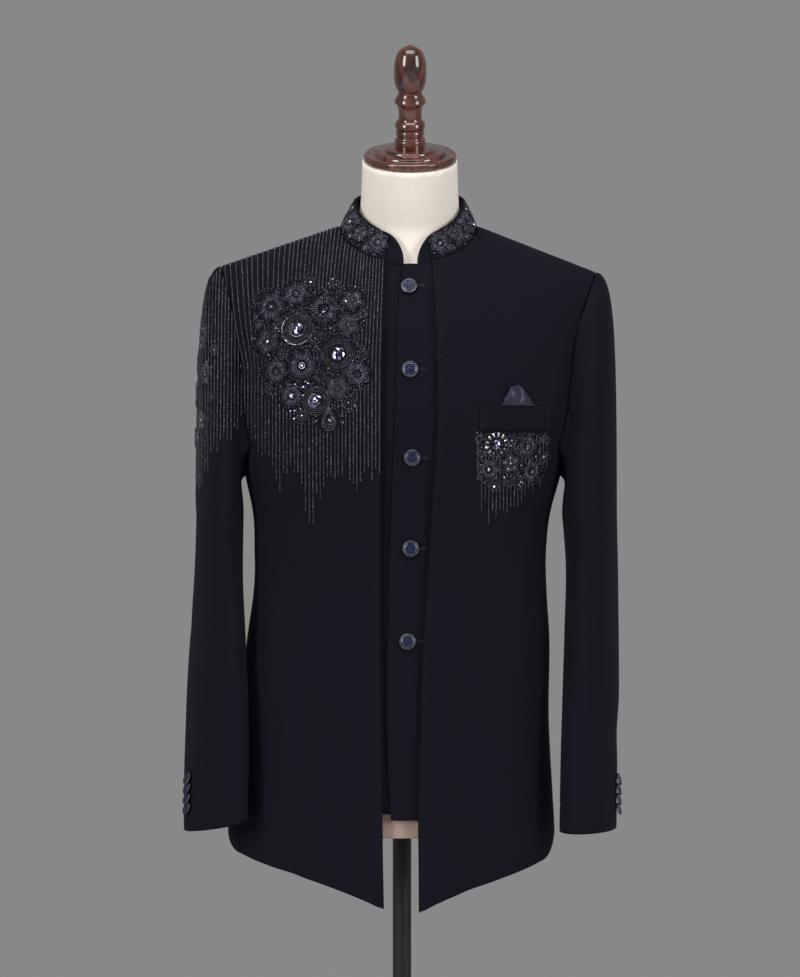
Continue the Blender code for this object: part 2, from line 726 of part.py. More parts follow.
def collar(name, ends, sink, thickness, colour, rounded=0.0):
    """A stand collar between its two front ends, round the back of the neck."""
    rows = 4
    first, last = COLLAR_ENDS[1], 360 + COLLAR_ENDS[-1]
    turns = [first + (last - first) * c / 22 for c in range(23)]
    if rounded:
        start, end = ends[1], 360 + ends[-1]
        turns = [start, (start + first) / 2] + turns + [(last + end) / 2, end]
    low = COLLAR_SEAT / (collar_top(90) - neckline(90)).length
    points, normals = [], []
    for r in range(rows):
        line, directions = [], []
        for around in turns:
            height = 1.0 - low
            from_end = min(around - turns[0], turns[-1] - around)
            if not rounded:
                height *= 1 - COLLAR_END_DROP * ease(1 - from_end / COLLAR_END_TURN)
            else:
                height *= 0.98 * max(math.sqrt(1 - max(1 - from_end / rounded, 0) ** 2), 0.12)
            share = low + height * r / (rows - 1)
            line.append(collar_surface(around, share))
            across = collar_surface(around + 1, share) - collar_surface(around - 1, share)
            upward = collar_surface(around, share + 0.01) - collar_surface(around, share - 0.01)
            directions.append(across.cross(upward).normalized())
        points.append(line)
        normals.append(directions)
    return wall(name, points, normals, colour, thickness, lambda r, c: -sink)


# Pocket, buttons and stones


def on_front(x, z, lift=0.0):
    """A point on the outer fronts and its normal."""
    turn, level = torso_at(x, z)
    normal = torso_normal(turn, level)
    return torso(turn, level) + normal * lift, normal


def welt(name, colour):
    """Breast welt, sewn on the outer left front."""
    columns, rows = 7, 3
    grid = [[on_front(WELT_X0 + (WELT_X1 - WELT_X0) * c / (columns - 1),
                      WELT_Z0 + (WELT_Z1 - WELT_Z0) * r / (rows - 1)) for c in range(columns)]
            for r in range(rows)]
    points = [[pair[0] for pair in row] for row in grid]
    normals = [[pair[1] for pair in row] for row in grid]
    return wall(name, points, normals, colour, WELT_THICKNESS, lambda r, c: WELT_THICKNESS + WELT_LIFT)


def pocket_square(name, colour):
    """Folded satin that stands up behind the welt's top edge and tips forward."""
    rows = 4
    columns = len(SQUARE_HEIGHTS)
    points, normals = [], []
    for r in range(rows):
        share = r / (rows - 1)
        line, directions = [], []
        for c in range(columns):
            across = c / (columns - 1)
            narrowing = 0.5 + (across - 0.5) * (1 - 0.25 * share)
            point, normal = on_front(SQUARE_X0 + (SQUARE_X1 - SQUARE_X0) * narrowing,
                                     WELT_Z1 + 0.5 + SQUARE_HEIGHTS[c] * share)
            line.append(point)
            directions.append(normal)
        points.append(line)
        normals.append(directions)

    def proud(r, c):
        ridge = 0.5 + 0.5 * math.cos(math.tau * c / 3)
        swell = SQUARE_PROUD * math.sin(math.pi * r / (rows - 1) * 0.8) + 1.2
        return 2.0 + swell * (0.35 + 0.65 * ridge)

    return wall(name, points, normals, colour, 1.4, proud)


def front_button(name, x, z, lift, colour):
    """A button of the inner front, on the centre line."""
    turn, level = torso_at(x, z)
    normal = torso_normal(turn, level)
    sink = INNER_SINK * ease((TOP_LEVEL - level) / 60)
    centre = torso(turn, level) - normal * (CLOTH + INNER_CLEAR + sink - lift)
    profile = [(radius * FRONT_BUTTON_RADIUS, height) for radius, height in BUTTON_PROFILE]
    return turned(name, profile, 14, colour, seated(centre, normal))


def cuff_button(name, side, number, colour):
    """One of four shingled buttons, each tipped to lie over the one below it."""
    height = CUFF_BUTTON_FIRST[side] + CUFF_BUTTON_PITCH * number
    angle, tilt = CUFF_BUTTON_ANGLE, math.radians(CUFF_BUTTON_TILT)
    around = sleeve_ring(side, angle + 2, height) - sleeve_ring(side, angle - 2, height)
    upward = sleeve_ring(side, angle, height + 2) - sleeve_ring(side, angle, height - 2)
    normal = (upward.cross(around) * side).normalized()
    lift = CUFF_BUTTON_RADIUS * math.sin(tilt) + CUFF_BUTTON_LIFT
    frame = seated(sleeve_ring(side, angle, height) + normal * lift, normal)
    frame = frame @ Matrix.Rotation(-tilt, 4, "X")
    profile = [(share * CUFF_BUTTON_RADIUS, rise * CUFF_BUTTON_SCALE) for share, rise in BUTTON_PROFILE]
    return turned(name, profile, 12, colour, frame)


def stone(name, x, z, radius, colour):
    """A faceted stone in the beadwork."""
    point, normal = on_front(x, z, 0.3)
    profile = [(share * radius, height * radius) for share, height in STONE_PROFILE]
    return turned(name, profile, 12, colour, seated(point, normal), smooth_angle=10)


# Dress form and stand


def form_inset(turn, level):
    """How far the form lies under the jacket's outside: closest where the shoulders carry it."""
    turn = (turn + 180) % 360 - 180
    behind = abs(turn) > 90
    own = 180 - abs(turn) if behind else abs(turn)
    neck_turn = NECK_TURN_BACK if behind else NECK_TURN_FRONT
    shoulder = ease((own - neck_turn * 1.25) / 8)
    top = FORM_NECK_INSET + (FORM_SHOULDER_INSET - FORM_NECK_INSET) * shoulder
    return FORM_INSET + (top - FORM_INSET) * ease((level - CHEST_TOP) / (YOKE_RISE * 0.75))


def form_torso(name, colour):
    """Padded torso with its neck: level loops, armhole plates, shoulders, and the leaning neck."""
    neck_shares = [0.2 * n for n in range(6)]
    shoulder_shares = [0.34, 0.67, 1.0]
    bm = bmesh.new()

    def own_turns(neck_turn, arm_turn):
        half = [neck_turn * share for share in neck_shares]
        half += [neck_turn + (arm_turn - neck_turn) * share for share in shoulder_shares]
        return [-turn for turn in half[:0:-1]] + half

    def point(turn, level):
        place = torso(turn, level) - torso_normal(turn, level) * form_inset(turn, level)
        if level == FORM_BOTTOM:
            place.z = FORM_BOTTOM
        return place

    def loop(level):
        arm_level = max(level, SCYE)
        front_arm = armhole_turn(arm_level)
        back_arm = armhole_turn(arm_level, behind=True)
        front = [point(turn, level) for turn in own_turns(NECK_TURN_FRONT, front_arm)]
        back = [point(180 + turn, level) for turn in own_turns(NECK_TURN_BACK, back_arm)]
        plates = []
        for start, end, side in ((front[-1], back[0], 1), (back[-1], front[0], -1)):
            plate = []
            for share in (0.33, 0.67):
                middle = start.lerp(end, share)
                if level < SCYE:
                    from_front = share if side > 0 else 1 - share
                    middle = point(side * (front_arm + (180 - back_arm - front_arm) * from_front), level)
                plate.append(middle)
            plates.append(plate)
        return front + plates[0] + back + plates[1]

    def face(corners):
        distinct = list(dict.fromkeys(corners))
        if len(distinct) > 2:
            bm.faces.new(distinct)

    def bridge(lower, upper):
        for i in range(len(lower)):
            n = (i + 1) % len(lower)
            face((lower[i], lower[n], upper[n], upper[i]))

    levels = FORM_LEVELS + UPPER_LEVELS
    loops = [[bm.verts.new(place) for place in loop(level)] for level in levels[:-1]]

    # At the top the front and back meet along the shoulders and leave the neck open
    shoulder = len(shoulder_shares)
    half_neck = len(neck_shares) - 1
    half = half_neck + shoulder
    last = loop(levels[-1])
    front = [bm.verts.new(place) for place in last[:2 * half + 1]]
    nape = [bm.verts.new(place) for place in last[2 * half + 3 + shoulder + 1:4 * half + 4 - shoulder - 1]]
    left_shoulder, right_shoulder = front[:-shoulder - 2:-1], front[shoulder::-1]
    loops.append(front + [front[-1]] * 2 + left_shoulder + nape + right_shoulder + [front[0]] * 2)
    face(loops[0])
    for lower, upper in zip(loops, loops[1:]):
        bridge(lower, upper)

    front_arounds = [90 * share for share in neck_shares]
    front_arounds = [-value for value in front_arounds[:0:-1]] + front_arounds
    back_arounds = [180 + value for value in front_arounds[1:-1]]
    rings = [front[shoulder:-shoulder] + nape]
    for half_width, y, z, deep, tilt in NECK_RINGS:
        lean = math.radians(tilt)
        ring = []
        for around in front_arounds + back_arounds:
            across = half_width * math.sin(math.radians(around))
            forward = deep * math.cos(math.radians(around))
            ring.append(bm.verts.new((NECK_X + across, y - forward * math.cos(lean),
                                      z - forward * math.sin(lean))))
        rings.append(ring)
    for lower, upper in zip(rings, rings[1:]):
        bridge(lower, upper)
    face(rings[-1])
    return finish(name, bm, colour, 60)


def build():
    suiting = material("suiting", (0.010, 0.009, 0.018), 0.85)
    inner_suiting = material("inner_suiting", (0.012, 0.011, 0.019), 0.85)
    satin = material("satin", (0.022, 0.018, 0.060), 0.38)
    button_metal = material("button_metal", (0.30, 0.32, 0.36), 0.35, 0.9)
    stone_glass = material("stone_glass", (0.05, 0.07, 0.16), 0.08)
    linen = material("linen", (0.78, 0.71, 0.60), 0.9)
    rosewood = material("rosewood", (0.11, 0.020, 0.008), 0.18)
    black_metal = material("black_metal", (0.012, 0.012, 0.014), 0.38, 0.6)

    for side, word in ((1, "left"), (-1, "right")):
        outer_front("outer_front_" + word, side, suiting)
        side_panel("side_panel_" + word, side, suiting)
        back_panel("back_" + word, side, suiting)
        inner_front("inner_front_" + word, side, inner_suiting)
        upper_end = FRONT_SLEEVE_SEAM + ARMHOLE_POINTS
        sleeve_half("sleeve_upper_" + word, side, BACK_SLEEVE_SEAM, upper_end, suiting)
        sleeve_half("sleeve_under_" + word, side, FRONT_SLEEVE_SEAM, BACK_SLEEVE_SEAM, suiting)
        for number in range(4):
            cuff_button("cuff_button_%s_%d" % (word, number + 1), side, number, button_metal)

    collar("collar_outer", COLLAR_ENDS, 0.0, CLOTH, suiting)
    collar("collar_inner", INNER_COLLAR_ENDS, CLOTH + SEAM_GAP, INNER_CLOTH, inner_suiting,
           INNER_COLLAR_ROUND)
    welt("pocket_welt", suiting)
    pocket_square("pocket_square", satin)
    for number, (x, z, lift) in enumerate(FRONT_BUTTONS):
        front_button("front_button_%d" % (number + 1), x, z, lift, button_metal)
    for name, (x, z, radius) in STONES.items():
        stone(name, x, z, radius, stone_glass)

    form_torso("form_torso", linen)
    lean = Matrix.Translation(CAP_SEAT) @ Matrix.Rotation(math.radians(CAP_LEAN), 4, "X")
    turned("neck_cap", CAP_PROFILE, 24, rosewood, lean)
    cap_top = CAP_PROFILE[-1][1]
    finial_seat = lean @ Matrix.Translation((0, 0, cap_top + SEAM_GAP))
    turned("finial", FINIAL_PROFILE, 14, rosewood, finial_seat, 50)
    pole_foot, pole_head = BASE_THICKNESS + SEAM_GAP, FORM_BOTTOM - SEAM_GAP
    turned("pole", [(POLE_RADIUS, pole_foot), (POLE_RADIUS, pole_head), (0.0, pole_head)], 20, black_metal)
    turned("base_plate", BASE_PROFILE, 40, black_metal, smooth_angle=30)
    turned("pole_socket", SOCKET_PROFILE, 20, black_metal, Matrix.Translation((0, 0, pole_foot)), 30)


build()
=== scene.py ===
"""Bandhgala jacket with a buttoned inner front, worn open on a limbless dress form.

World frame: metres, +Z up, the jacket faces -Y and the wearer's left is at +X.
Lengths in the tables are millimetres and angles are degrees; MM turns lengths into metres.
"""

import math

import bmesh
import bpy
import numpy as np
from mathutils import Matrix, Vector
from mathutils.bvhtree import BVHTree


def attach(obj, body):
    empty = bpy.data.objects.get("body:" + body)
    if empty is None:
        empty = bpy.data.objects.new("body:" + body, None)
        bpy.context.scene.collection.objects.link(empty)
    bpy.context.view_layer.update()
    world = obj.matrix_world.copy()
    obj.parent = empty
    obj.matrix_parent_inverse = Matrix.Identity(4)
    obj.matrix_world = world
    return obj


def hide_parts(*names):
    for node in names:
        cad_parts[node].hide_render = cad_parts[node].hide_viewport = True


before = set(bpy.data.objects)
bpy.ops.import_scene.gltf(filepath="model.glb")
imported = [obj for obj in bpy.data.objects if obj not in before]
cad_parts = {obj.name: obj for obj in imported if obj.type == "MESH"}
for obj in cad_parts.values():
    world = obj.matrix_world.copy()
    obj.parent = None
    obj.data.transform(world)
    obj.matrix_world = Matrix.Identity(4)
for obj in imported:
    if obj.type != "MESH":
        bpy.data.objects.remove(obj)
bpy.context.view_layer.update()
scene = bpy.context.scene
MM = 0.001


# The view and the studio
# The camera stands level with the chest, straight in front of the jacket, on a long lens.
# Two tall soft boxes stand left and right of it, over a pale floor, in a plain grey room.

CAMERA_PLACE, LENS_LENGTH, SENSOR_WIDTH = (-0.0023, -3.15, 1.150), 100, 36
camera = bpy.data.objects.new("camera", bpy.data.cameras.new("camera"))
camera.location = CAMERA_PLACE
camera.rotation_euler = (math.radians(90), 0, 0)
camera.data.lens, camera.data.sensor_width = LENS_LENGTH, SENSOR_WIDTH
scene.collection.objects.link(camera)
scene.camera = camera
scene.view_settings.view_transform = "Standard"

ROOM_GREY = (0.247, 0.247, 0.250, 1.0)
room = bpy.data.worlds.new("grey_room")
room.use_nodes = True
room.node_tree.nodes["Background"].inputs["Color"].default_value = ROOM_GREY
scene.world = room

# name, place, point aimed at, width, height, watts, colour
STUDIO_LIGHTS = [
    ("softbox_left", (-2.3, -2.4, 1.9), (0.0, 0.0, 1.1), 0.9, 1.9, 64, (1.0, 0.99, 0.98)),
    ("softbox_right", (2.5, -2.0, 1.8), (0.0, 0.0, 1.1), 0.9, 1.9, 50, (0.98, 0.99, 1.0)),
    ("softbox_above", (0.0, -0.9, 3.1), (0.0, 0.0, 1.3), 1.6, 1.2, 26, (1.0, 1.0, 1.0)),
]
for name, place, aim, width, height, watts, colour in STUDIO_LIGHTS:
    lamp = bpy.data.lights.new(name, "AREA")
    lamp.shape = "RECTANGLE"
    lamp.size, lamp.size_y = width, height
    lamp.energy, lamp.color = watts, colour
    holder = bpy.data.objects.new(name, lamp)
    holder.location = place
    holder.rotation_euler = (Vector(aim) - Vector(place)).to_track_quat("-Z", "Y").to_euler()
    scene.collection.objects.link(holder)


def new_material(name):
    """A material, its node tree and its Principled shader."""
    made = bpy.data.materials.new(name)
    made.use_nodes = True
    return made, made.node_tree, made.node_tree.nodes["Principled BSDF"]


def node(tree, kind, values=None, **settings):
    """Add a node; values go to its input sockets by name or number."""
    added = tree.nodes.new(kind)
    for key, value in settings.items():
        setattr(added, key, value)
    for key, value in (values or {}).items():
        added.inputs[key].default_value = value
    return added


def mix_colour(tree, share, first, second):
    """A colour between two, by a socket that gives the share of the second."""
    mixer = node(tree, "ShaderNodeMix", data_type="RGBA")
    for socket, value in ((6, first), (7, second)):
        if isinstance(value, tuple):
            mixer.inputs[socket].default_value = (*value, 1.0)
        else:
            tree.links.new(value, mixer.inputs[socket])
    tree.links.new(share, mixer.inputs[0])
    return mixer.outputs[2]


def spread(tree, value, low, high, start=0.0, end=1.0):
    """Map a value onto a new range."""
    ranged = node(tree, "ShaderNodeMapRange", {1: start, 2: end, 3: low, 4: high})
    tree.links.new(value, ranged.inputs[0])
    return ranged.outputs[0]


FLOOR_RADIUS, FLOOR_SEGMENTS = 2.9, 96
floor_mesh = bpy.data.meshes.new("studio_floor")
floor_shape = bmesh.new()
bmesh.ops.create_circle(floor_shape, cap_ends=True, segments=FLOOR_SEGMENTS, radius=FLOOR_RADIUS)
floor_shape.to_mesh(floor_mesh)
floor_shape.free()
floor = bpy.data.objects.new("studio_floor", floor_mesh)
scene.collection.objects.link(floor)
floor_paint, tree, shader = new_material("pale_floor")
mottle = node(tree, "ShaderNodeTexNoise", {"Scale": 9.0, "Detail": 3.0})
tree.links.new(mix_colour(tree, mottle.outputs[0], (0.66, 0.66, 0.65), (0.72, 0.72, 0.71)),
               shader.inputs["Base Color"])
shader.inputs["Roughness"].default_value = 0.7
floor_mesh.materials.append(floor_paint)


# The outer cloth
# A fine, matt, midnight navy suiting of worsted with a little stretch, closely woven, with a
# faint bloom of fibres. Its weave follows the cloth's own length and width, from its UV map.


def group_of(name, inputs, outputs):
    """An empty shader node group with its sockets and its two end nodes."""
    group = bpy.data.node_groups.new(name, "ShaderNodeTree")
    for label, kind, value in inputs:
        socket = group.interface.new_socket(name=label, in_out="INPUT", socket_type=kind)
        if value is not None:
            socket.default_value = value
    for label, kind in outputs:
        group.interface.new_socket(name=label, in_out="OUTPUT", socket_type=kind)
    return group, group.nodes.new("NodeGroupInput"), group.nodes.new("NodeGroupOutput")


def math_node(tree, operation, first, second=None):
    """A Math node on sockets or numbers."""
    made = node(tree, "ShaderNodeMath", operation=operation)
    for socket, value in ((0, first), (1, second)):
        if value is None:
            continue
        if isinstance(value, (int, float)):
            made.inputs[socket].default_value = value
        else:
            tree.links.new(value, made.inputs[socket])
    return made.outputs[0]


# Woven cloth: warp and weft threads that pass over each other, with uneven yarn
WEAVE, tree_in, tree_out = group_of(
    "woven_threads",
    [("Vector", "NodeSocketVector", None), ("Threads per metre", "NodeSocketFloat", 1500.0),
     ("Twill", "NodeSocketFloat", 0.5), ("Yarn unevenness", "NodeSocketFloat", 0.5)],
    [("Height", "NodeSocketFloat"), ("Thread tone", "NodeSocketFloat")])
split = node(WEAVE, "ShaderNodeSeparateXYZ")
WEAVE.links.new(tree_in.outputs["Vector"], split.inputs[0])
turns = math_node(WEAVE, "MULTIPLY", tree_in.outputs["Threads per metre"], math.pi)
across = math_node(WEAVE, "MULTIPLY", split.outputs[0], turns)
along = math_node(WEAVE, "MULTIPLY", split.outputs[1], turns)
warp = math_node(WEAVE, "ABSOLUTE", math_node(WEAVE, "SINE", across))
weft = math_node(WEAVE, "ABSOLUTE", math_node(WEAVE, "SINE", along))
plain = math_node(WEAVE, "MULTIPLY", warp, weft)
diagonal = math_node(WEAVE, "MULTIPLY", math_node(WEAVE, "ADD", across, along), 0.5)
rib = math_node(WEAVE, "MULTIPLY_ADD", math_node(WEAVE, "SINE", diagonal), 0.5)
rib.node.inputs[2].default_value = 0.5
blend = node(WEAVE, "ShaderNodeMix", data_type="FLOAT")
WEAVE.links.new(tree_in.outputs["Twill"], blend.inputs[0])
WEAVE.links.new(plain, blend.inputs[2])
WEAVE.links.new(math_node(WEAVE, "MULTIPLY", rib, plain), blend.inputs[3])
yarn = node(WEAVE, "ShaderNodeTexNoise", {"Scale": 1.0, "Detail": 2.0})
stretched = node(WEAVE, "ShaderNodeVectorMath", {1: (900.0, 60.0, 200.0)}, operation="MULTIPLY")
WEAVE.links.new(tree_in.outputs["Vector"], stretched.inputs[0])
WEAVE.links.new(stretched.outputs[0], yarn.inputs["Vector"])
uneven = math_node(WEAVE, "MULTIPLY", yarn.outputs[0], tree_in.outputs["Yarn unevenness"])
WEAVE.links.new(math_node(WEAVE, "ADD", blend.outputs[0], uneven), tree_out.inputs["Height"])
WEAVE.links.new(yarn.outputs[0], tree_out.inputs["Thread tone"])

# Handling wear: broad soft patches where a nap is pressed, and fine specks of lint or dust
WEAR, tree_in, tree_out = group_of(
    "handling_wear",
    [("Vector", "NodeSocketVector", None), ("Patch size", "NodeSocketFloat", 6.0),
     ("Speck size", "NodeSocketFloat", 900.0), ("Specks", "NodeSocketFloat", 0.3)],
    [("Patches", "NodeSocketFloat"), ("Specks", "NodeSocketFloat")])
broad = node(WEAR, "ShaderNodeTexNoise", {"Detail": 3.0, "Roughness": 0.55})
WEAR.links.new(tree_in.outputs["Vector"], broad.inputs["Vector"])
WEAR.links.new(tree_in.outputs["Patch size"], broad.inputs["Scale"])
WEAR.links.new(spread(WEAR, broad.outputs[0], 0.0, 1.0, 0.32, 0.68), tree_out.inputs["Patches"])
fine = node(WEAR, "ShaderNodeTexNoise", {"Detail": 1.0})
WEAR.links.new(tree_in.outputs["Vector"], fine.inputs["Vector"])
WEAR.links.new(tree_in.outputs["Speck size"], fine.inputs["Scale"])
specks = spread(WEAR, fine.outputs[0], 0.0, 1.0, 0.72, 0.80)
specks = math_node(WEAR, "MULTIPLY", specks, tree_in.outputs["Specks"])
WEAR.links.new(specks, tree_out.inputs["Specks"])


def use_group(tree, group, vector, values):
    """Place a node group, fed by a vector socket and given its own values."""
    placed = node(tree, "ShaderNodeGroup")
    placed.node_tree = group
    tree.links.new(vector, placed.inputs["Vector"])
    for label, value in values.items():
        placed.inputs[label].default_value = value
    return placed


def bumped(tree, shader, height, strength, distance):
    """Feed a height through a Bump node to the shader's normal."""
    relief = node(tree, "ShaderNodeBump", {"Strength": strength, "Distance": distance})
    tree.links.new(height, relief.inputs["Height"])
    tree.links.new(relief.outputs[0], shader.inputs["Normal"])


def wear_over(tree, patch_size, speck_size, specks):
    """Handling wear at a piece's own places: the placed group, and the socket of the places."""
    place = node(tree, "ShaderNodeTexCoord").outputs["Object"]
    values = {"Patch size": patch_size, "Speck size": speck_size, "Specks": specks}
    return use_group(tree, WEAR, place, values), place


def weave_over(tree, place, threads, twill, unevenness):
    """Two threads passing over each other, at the places that a socket gives in metres."""
    return use_group(tree, WEAVE, place, {"Threads per metre": threads, "Twill": twill,
                                          "Yarn unevenness": unevenness})


def touched(tree, wear, kind, most, under, over):
    """A colour over another where the wear has its Patches or its Specks, up to a share."""
    return mix_colour(tree, math_node(tree, "MULTIPLY", wear.outputs[kind], most), under, over)


def coloured(tree, shader, colour, wear, rough):
    """Link the base colour, and a roughness that follows the wear's patches."""
    tree.links.new(colour, shader.inputs["Base Color"])
    tree.links.new(spread(tree, wear.outputs["Patches"], *rough), shader.inputs["Roughness"])


def set_sockets(shader, **values):
    """Give the shader's sockets constant values, with _ for each space of a socket's name."""
    for label, value in values.items():
        shader.inputs[label.replace("_", " ")].default_value = value


CLOTH_BLOOM = (0.55, 0.60, 0.85, 1.0)


def cloth_material(name, dark, light, threads, rough, sheen, relief, twill=0.6):
    """Woven cloth: two close tones along the yarn, pressed patches, lint, weave relief, bloom."""
    made, tree, shader = new_material(name)
    metres = node(tree, "ShaderNodeUVMap", uv_map="cloth").outputs[0]
    weave = weave_over(tree, metres, threads, twill, 0.6)
    wear, _ = wear_over(tree, 7.0, 1400.0, 0.35)
    yarn_colour = mix_colour(tree, weave.outputs["Thread tone"], dark, light)
    worn = touched(tree, wear, "Patches", 0.35, yarn_colour, light)
    lint = tuple(min(1.0, value * 3.0 + 0.01) for value in light)
    coloured(tree, shader, touched(tree, wear, "Specks", 0.5, worn, lint), wear, rough)
    bumped(tree, shader, weave.outputs["Height"], relief, 0.00025)
    set_sockets(shader, Sheen_Weight=sheen, Sheen_Roughness=0.45, Sheen_Tint=CLOTH_BLOOM,
                Specular_IOR_Level=0.06)
    return made


SUITING = cloth_material("midnight_suiting", (0.0043, 0.0040, 0.0076), (0.0079, 0.0073, 0.0128),
                         1500.0, (0.78, 0.90), 0.025, 0.35)
SEWING_THREAD, tree, shader = new_material("navy_thread")
ply = node(tree, "ShaderNodeTexWave", {"Scale": 900.0, "Distortion": 1.0}, wave_type="BANDS",
           bands_direction="DIAGONAL")
tone = mix_colour(tree, ply.outputs["Fac"], (0.0045, 0.0043, 0.0085), (0.0115, 0.0108, 0.0190))
tree.links.new(tone, shader.inputs["Base Color"])
tree.links.new(spread(tree, ply.outputs["Fac"], 0.5, 0.7), shader.inputs["Roughness"])
bumped(tree, shader, ply.outputs["Fac"], 0.4, 0.0001)


# The two outer fronts
# Each is one panel of suiting from the shoulder to a long slanted point, with the edge turned
# under and pressed. They hang open over the inner front and are sewn to side, back and collar.

CLOTH = 2.0
SEAM_GAP = 0.3
ARMHOLE_GAP = 0.65
CHEST_TOP, YOKE_RISE = 1290.0, 120.0
TOP_LEVEL = CHEST_TOP + YOKE_RISE
UNDERARM, SCYE = 1165.0, 1195.0
BODY_POWER = 2.35
FOLD_FADE = 90.0            # a fold of the body fades over this height at both ends
BISECTIONS = 26             # halvings of a search for a place on the surface

# Level sections: height, middle in X, half width, depth in front, depth behind
BODY_SECTIONS = [
    (660, -13.0, 191, 118, 126),
    (744, -12.7, 190, 117, 126),
    (883, -8.8, 179, 110, 122),
    (973, -4.5, 175.5, 104, 113),
    (1032, -2.2, 169.8, 101, 106),
    (1075, -2.0, 169, 102, 105),
    (1120, -0.5, 172, 107, 109),
    (1165, 1.0, 182.5, 114, 114),
    (1196, 2.5, 188, 117, 118),
    (1240, 4.0, 196, 118, 121),
    (1290, 5.0, 200, 112, 122),
]
# Side seams: height, turn from the front, turn from the back
SIDE_SEAMS = [(744, 70, 69), (1075, 71, 69), (1195, 74, 72.5)]
# Armhole edge above the side panel: height, depth in front, depth behind
ARMHOLE_DEPTHS = [(1195, 52, 56), (1240, 50, 62), (1290, 46, 58)]
NECK_MIDDLE_X, NECK_HALF_WIDTH = 7.5, 79.0
NECK_SIDE_Y, NECK_SIDE_Z = 2.0, 1455.0
NECK_FRONT_REACH, NECK_FRONT_DROP = 68.0, 47.5
NECK_BACK_REACH, NECK_BACK_RISE = 72.0, 17.0
NECK_TURN_FRONT, NECK_TURN_BACK = 38.0, 36.0
# Yoke curves: how far their handles reach, how much less at the shoulder, how they arrive at
# the neck behind, in front and upwards, and how much they follow the shoulder seam
YOKE_PULL, SHOULDER_LESS = 0.36, 0.06
ARRIVE_BEHIND, ARRIVE_IN_FRONT, ARRIVE_UP, ARRIVE_ALONG_SEAM = 0.55, 0.42, 0.9, 0.5
SHOULDER_POINT = {1: Vector((225, 2, 1401)), -1: Vector((-210, 2, 1408))}
# Outer front edges: height, X of the wearer's left edge, X of the wearer's right edge
FRONT_EDGES = [
    (672, 18.7, -20.0),
    (690, 18.6, -20.4),
    (737, 18.3, -21.3),
    (780, 18.0, -21.8),
    (878, 20.4, -23.0),
    (956, 23.0, -24.0),
    (1033, 28.0, -24.6),
    (1137, 34.0, -24.0),
    (1209, 39.2, -23.4),
    (1253, 39.8, -23.0),
    (1330, 38.0, -21.4),
    (1410, 34.2, -19.2),
]
# Hem of an outer front: height of its point, rise to the side, power of the rise
FRONT_HEM = {1: (673.5, 68.0, 0.85), -1: (678.0, 72.0, 0.90)}
POINT_ROUNDING, ROUNDED_SHARE = 1.6, 0.05
# Soft folds of the body: turn, top level, bottom level, half width in degrees, depth
BODY_FOLDS = [
    (-48, 1010, 690, 7, -2.2),
    (40, 1000, 690, 8, -2.0),
    (128, 1020, 730, 9, -3.0),
    (-130, 1040, 730, 9, -3.0),
    (152, 980, 730, 8, -2.4),
    (-158, 960, 730, 8, -2.2),
    (60, 1130, 1020, 8, -1.6),
    (-60, 1130, 1030, 8, -1.6),
    (118, 1150, 1010, 9, -2.0),
    (-118, 1150, 1010, 9, -2.0),
]
# Slight creases that only the cloth itself has: turn, level, half width, half height, lean
# in degrees of turn for each millimetre, depth
BODY_CREASES = [
    (66, 1150, 3.0, 60, 0.10, -0.8),
    (-64, 1160, 3.2, 70, -0.10, -0.9),
    (84, 1050, 3.4, 70, 0.05, -0.9),
    (-86, 1040, 3.0, 60, -0.06, -0.8),
    (-30, 900, 4.0, 110, 0.01, -0.7),
    (24, 860, 3.6, 100, -0.01, -0.6),
    (100, 900, 4.0, 100, 0.03, -1.0),
    (-104, 930, 4.0, 110, -0.02, -1.0),
    (168, 1090, 3.6, 90, 0.02, -0.8),
    (-170, 1180, 4.5, 120, -0.01, -0.7),
    (140, 1230, 4.0, 90, 0.05, -0.9),
    (-142, 1240, 4.0, 80, -0.05, -0.9),
    (-52, 1262, 3.0, 42, -0.06, -0.6),
    (54, 1268, 3.0, 46, 0.07, -0.7),
]


def smooth_rows(rows, key, column):
    """A column's value at a key, on a smooth curve through the rows of a table."""
    key = min(max(key, rows[0][0]), rows[-1][0])
    last = len(rows) - 1
    i = next((n for n in range(last) if key <= rows[n + 1][0]), last - 1)

    def slope(n):
        low, high = max(n - 1, 0), min(n + 1, last)
        return (rows[high][column] - rows[low][column]) / (rows[high][0] - rows[low][0])

    span = rows[i + 1][0] - rows[i][0]
    t = (key - rows[i][0]) / span
    start, end = rows[i][column], rows[i + 1][column]
    return (start * (1 + 2 * t) * (1 - t) ** 2 + end * (3 - 2 * t) * t * t
            + span * slope(i) * t * (1 - t) ** 2 - span * slope(i + 1) * t * t * (1 - t))


def wrap(turn):
    """The same turn between -180 and 180 degrees."""
    return (turn + 180) % 360 - 180


def bump(value):
    """A soft hill, 1 in the middle and 0 from -1 and +1 outwards."""
    return (1 + math.cos(math.pi * value)) / 2 if abs(value) < 1 else 0.0


def ease(value):
    """From 0 to 1 with soft ends."""
    value = min(max(value, 0.0), 1.0)
    return value * value * (3 - 2 * value)


def curve(start, a, b, end, t):
    """A point of a Bezier curve."""
    return start * (1 - t) ** 3 + a * 3 * t * (1 - t) ** 2 + b * 3 * t * t * (1 - t) + end * t ** 3


def sine_cosine(turn):
    """Sine and cosine of an angle in degrees."""
    return math.sin(math.radians(turn)), math.cos(math.radians(turn))


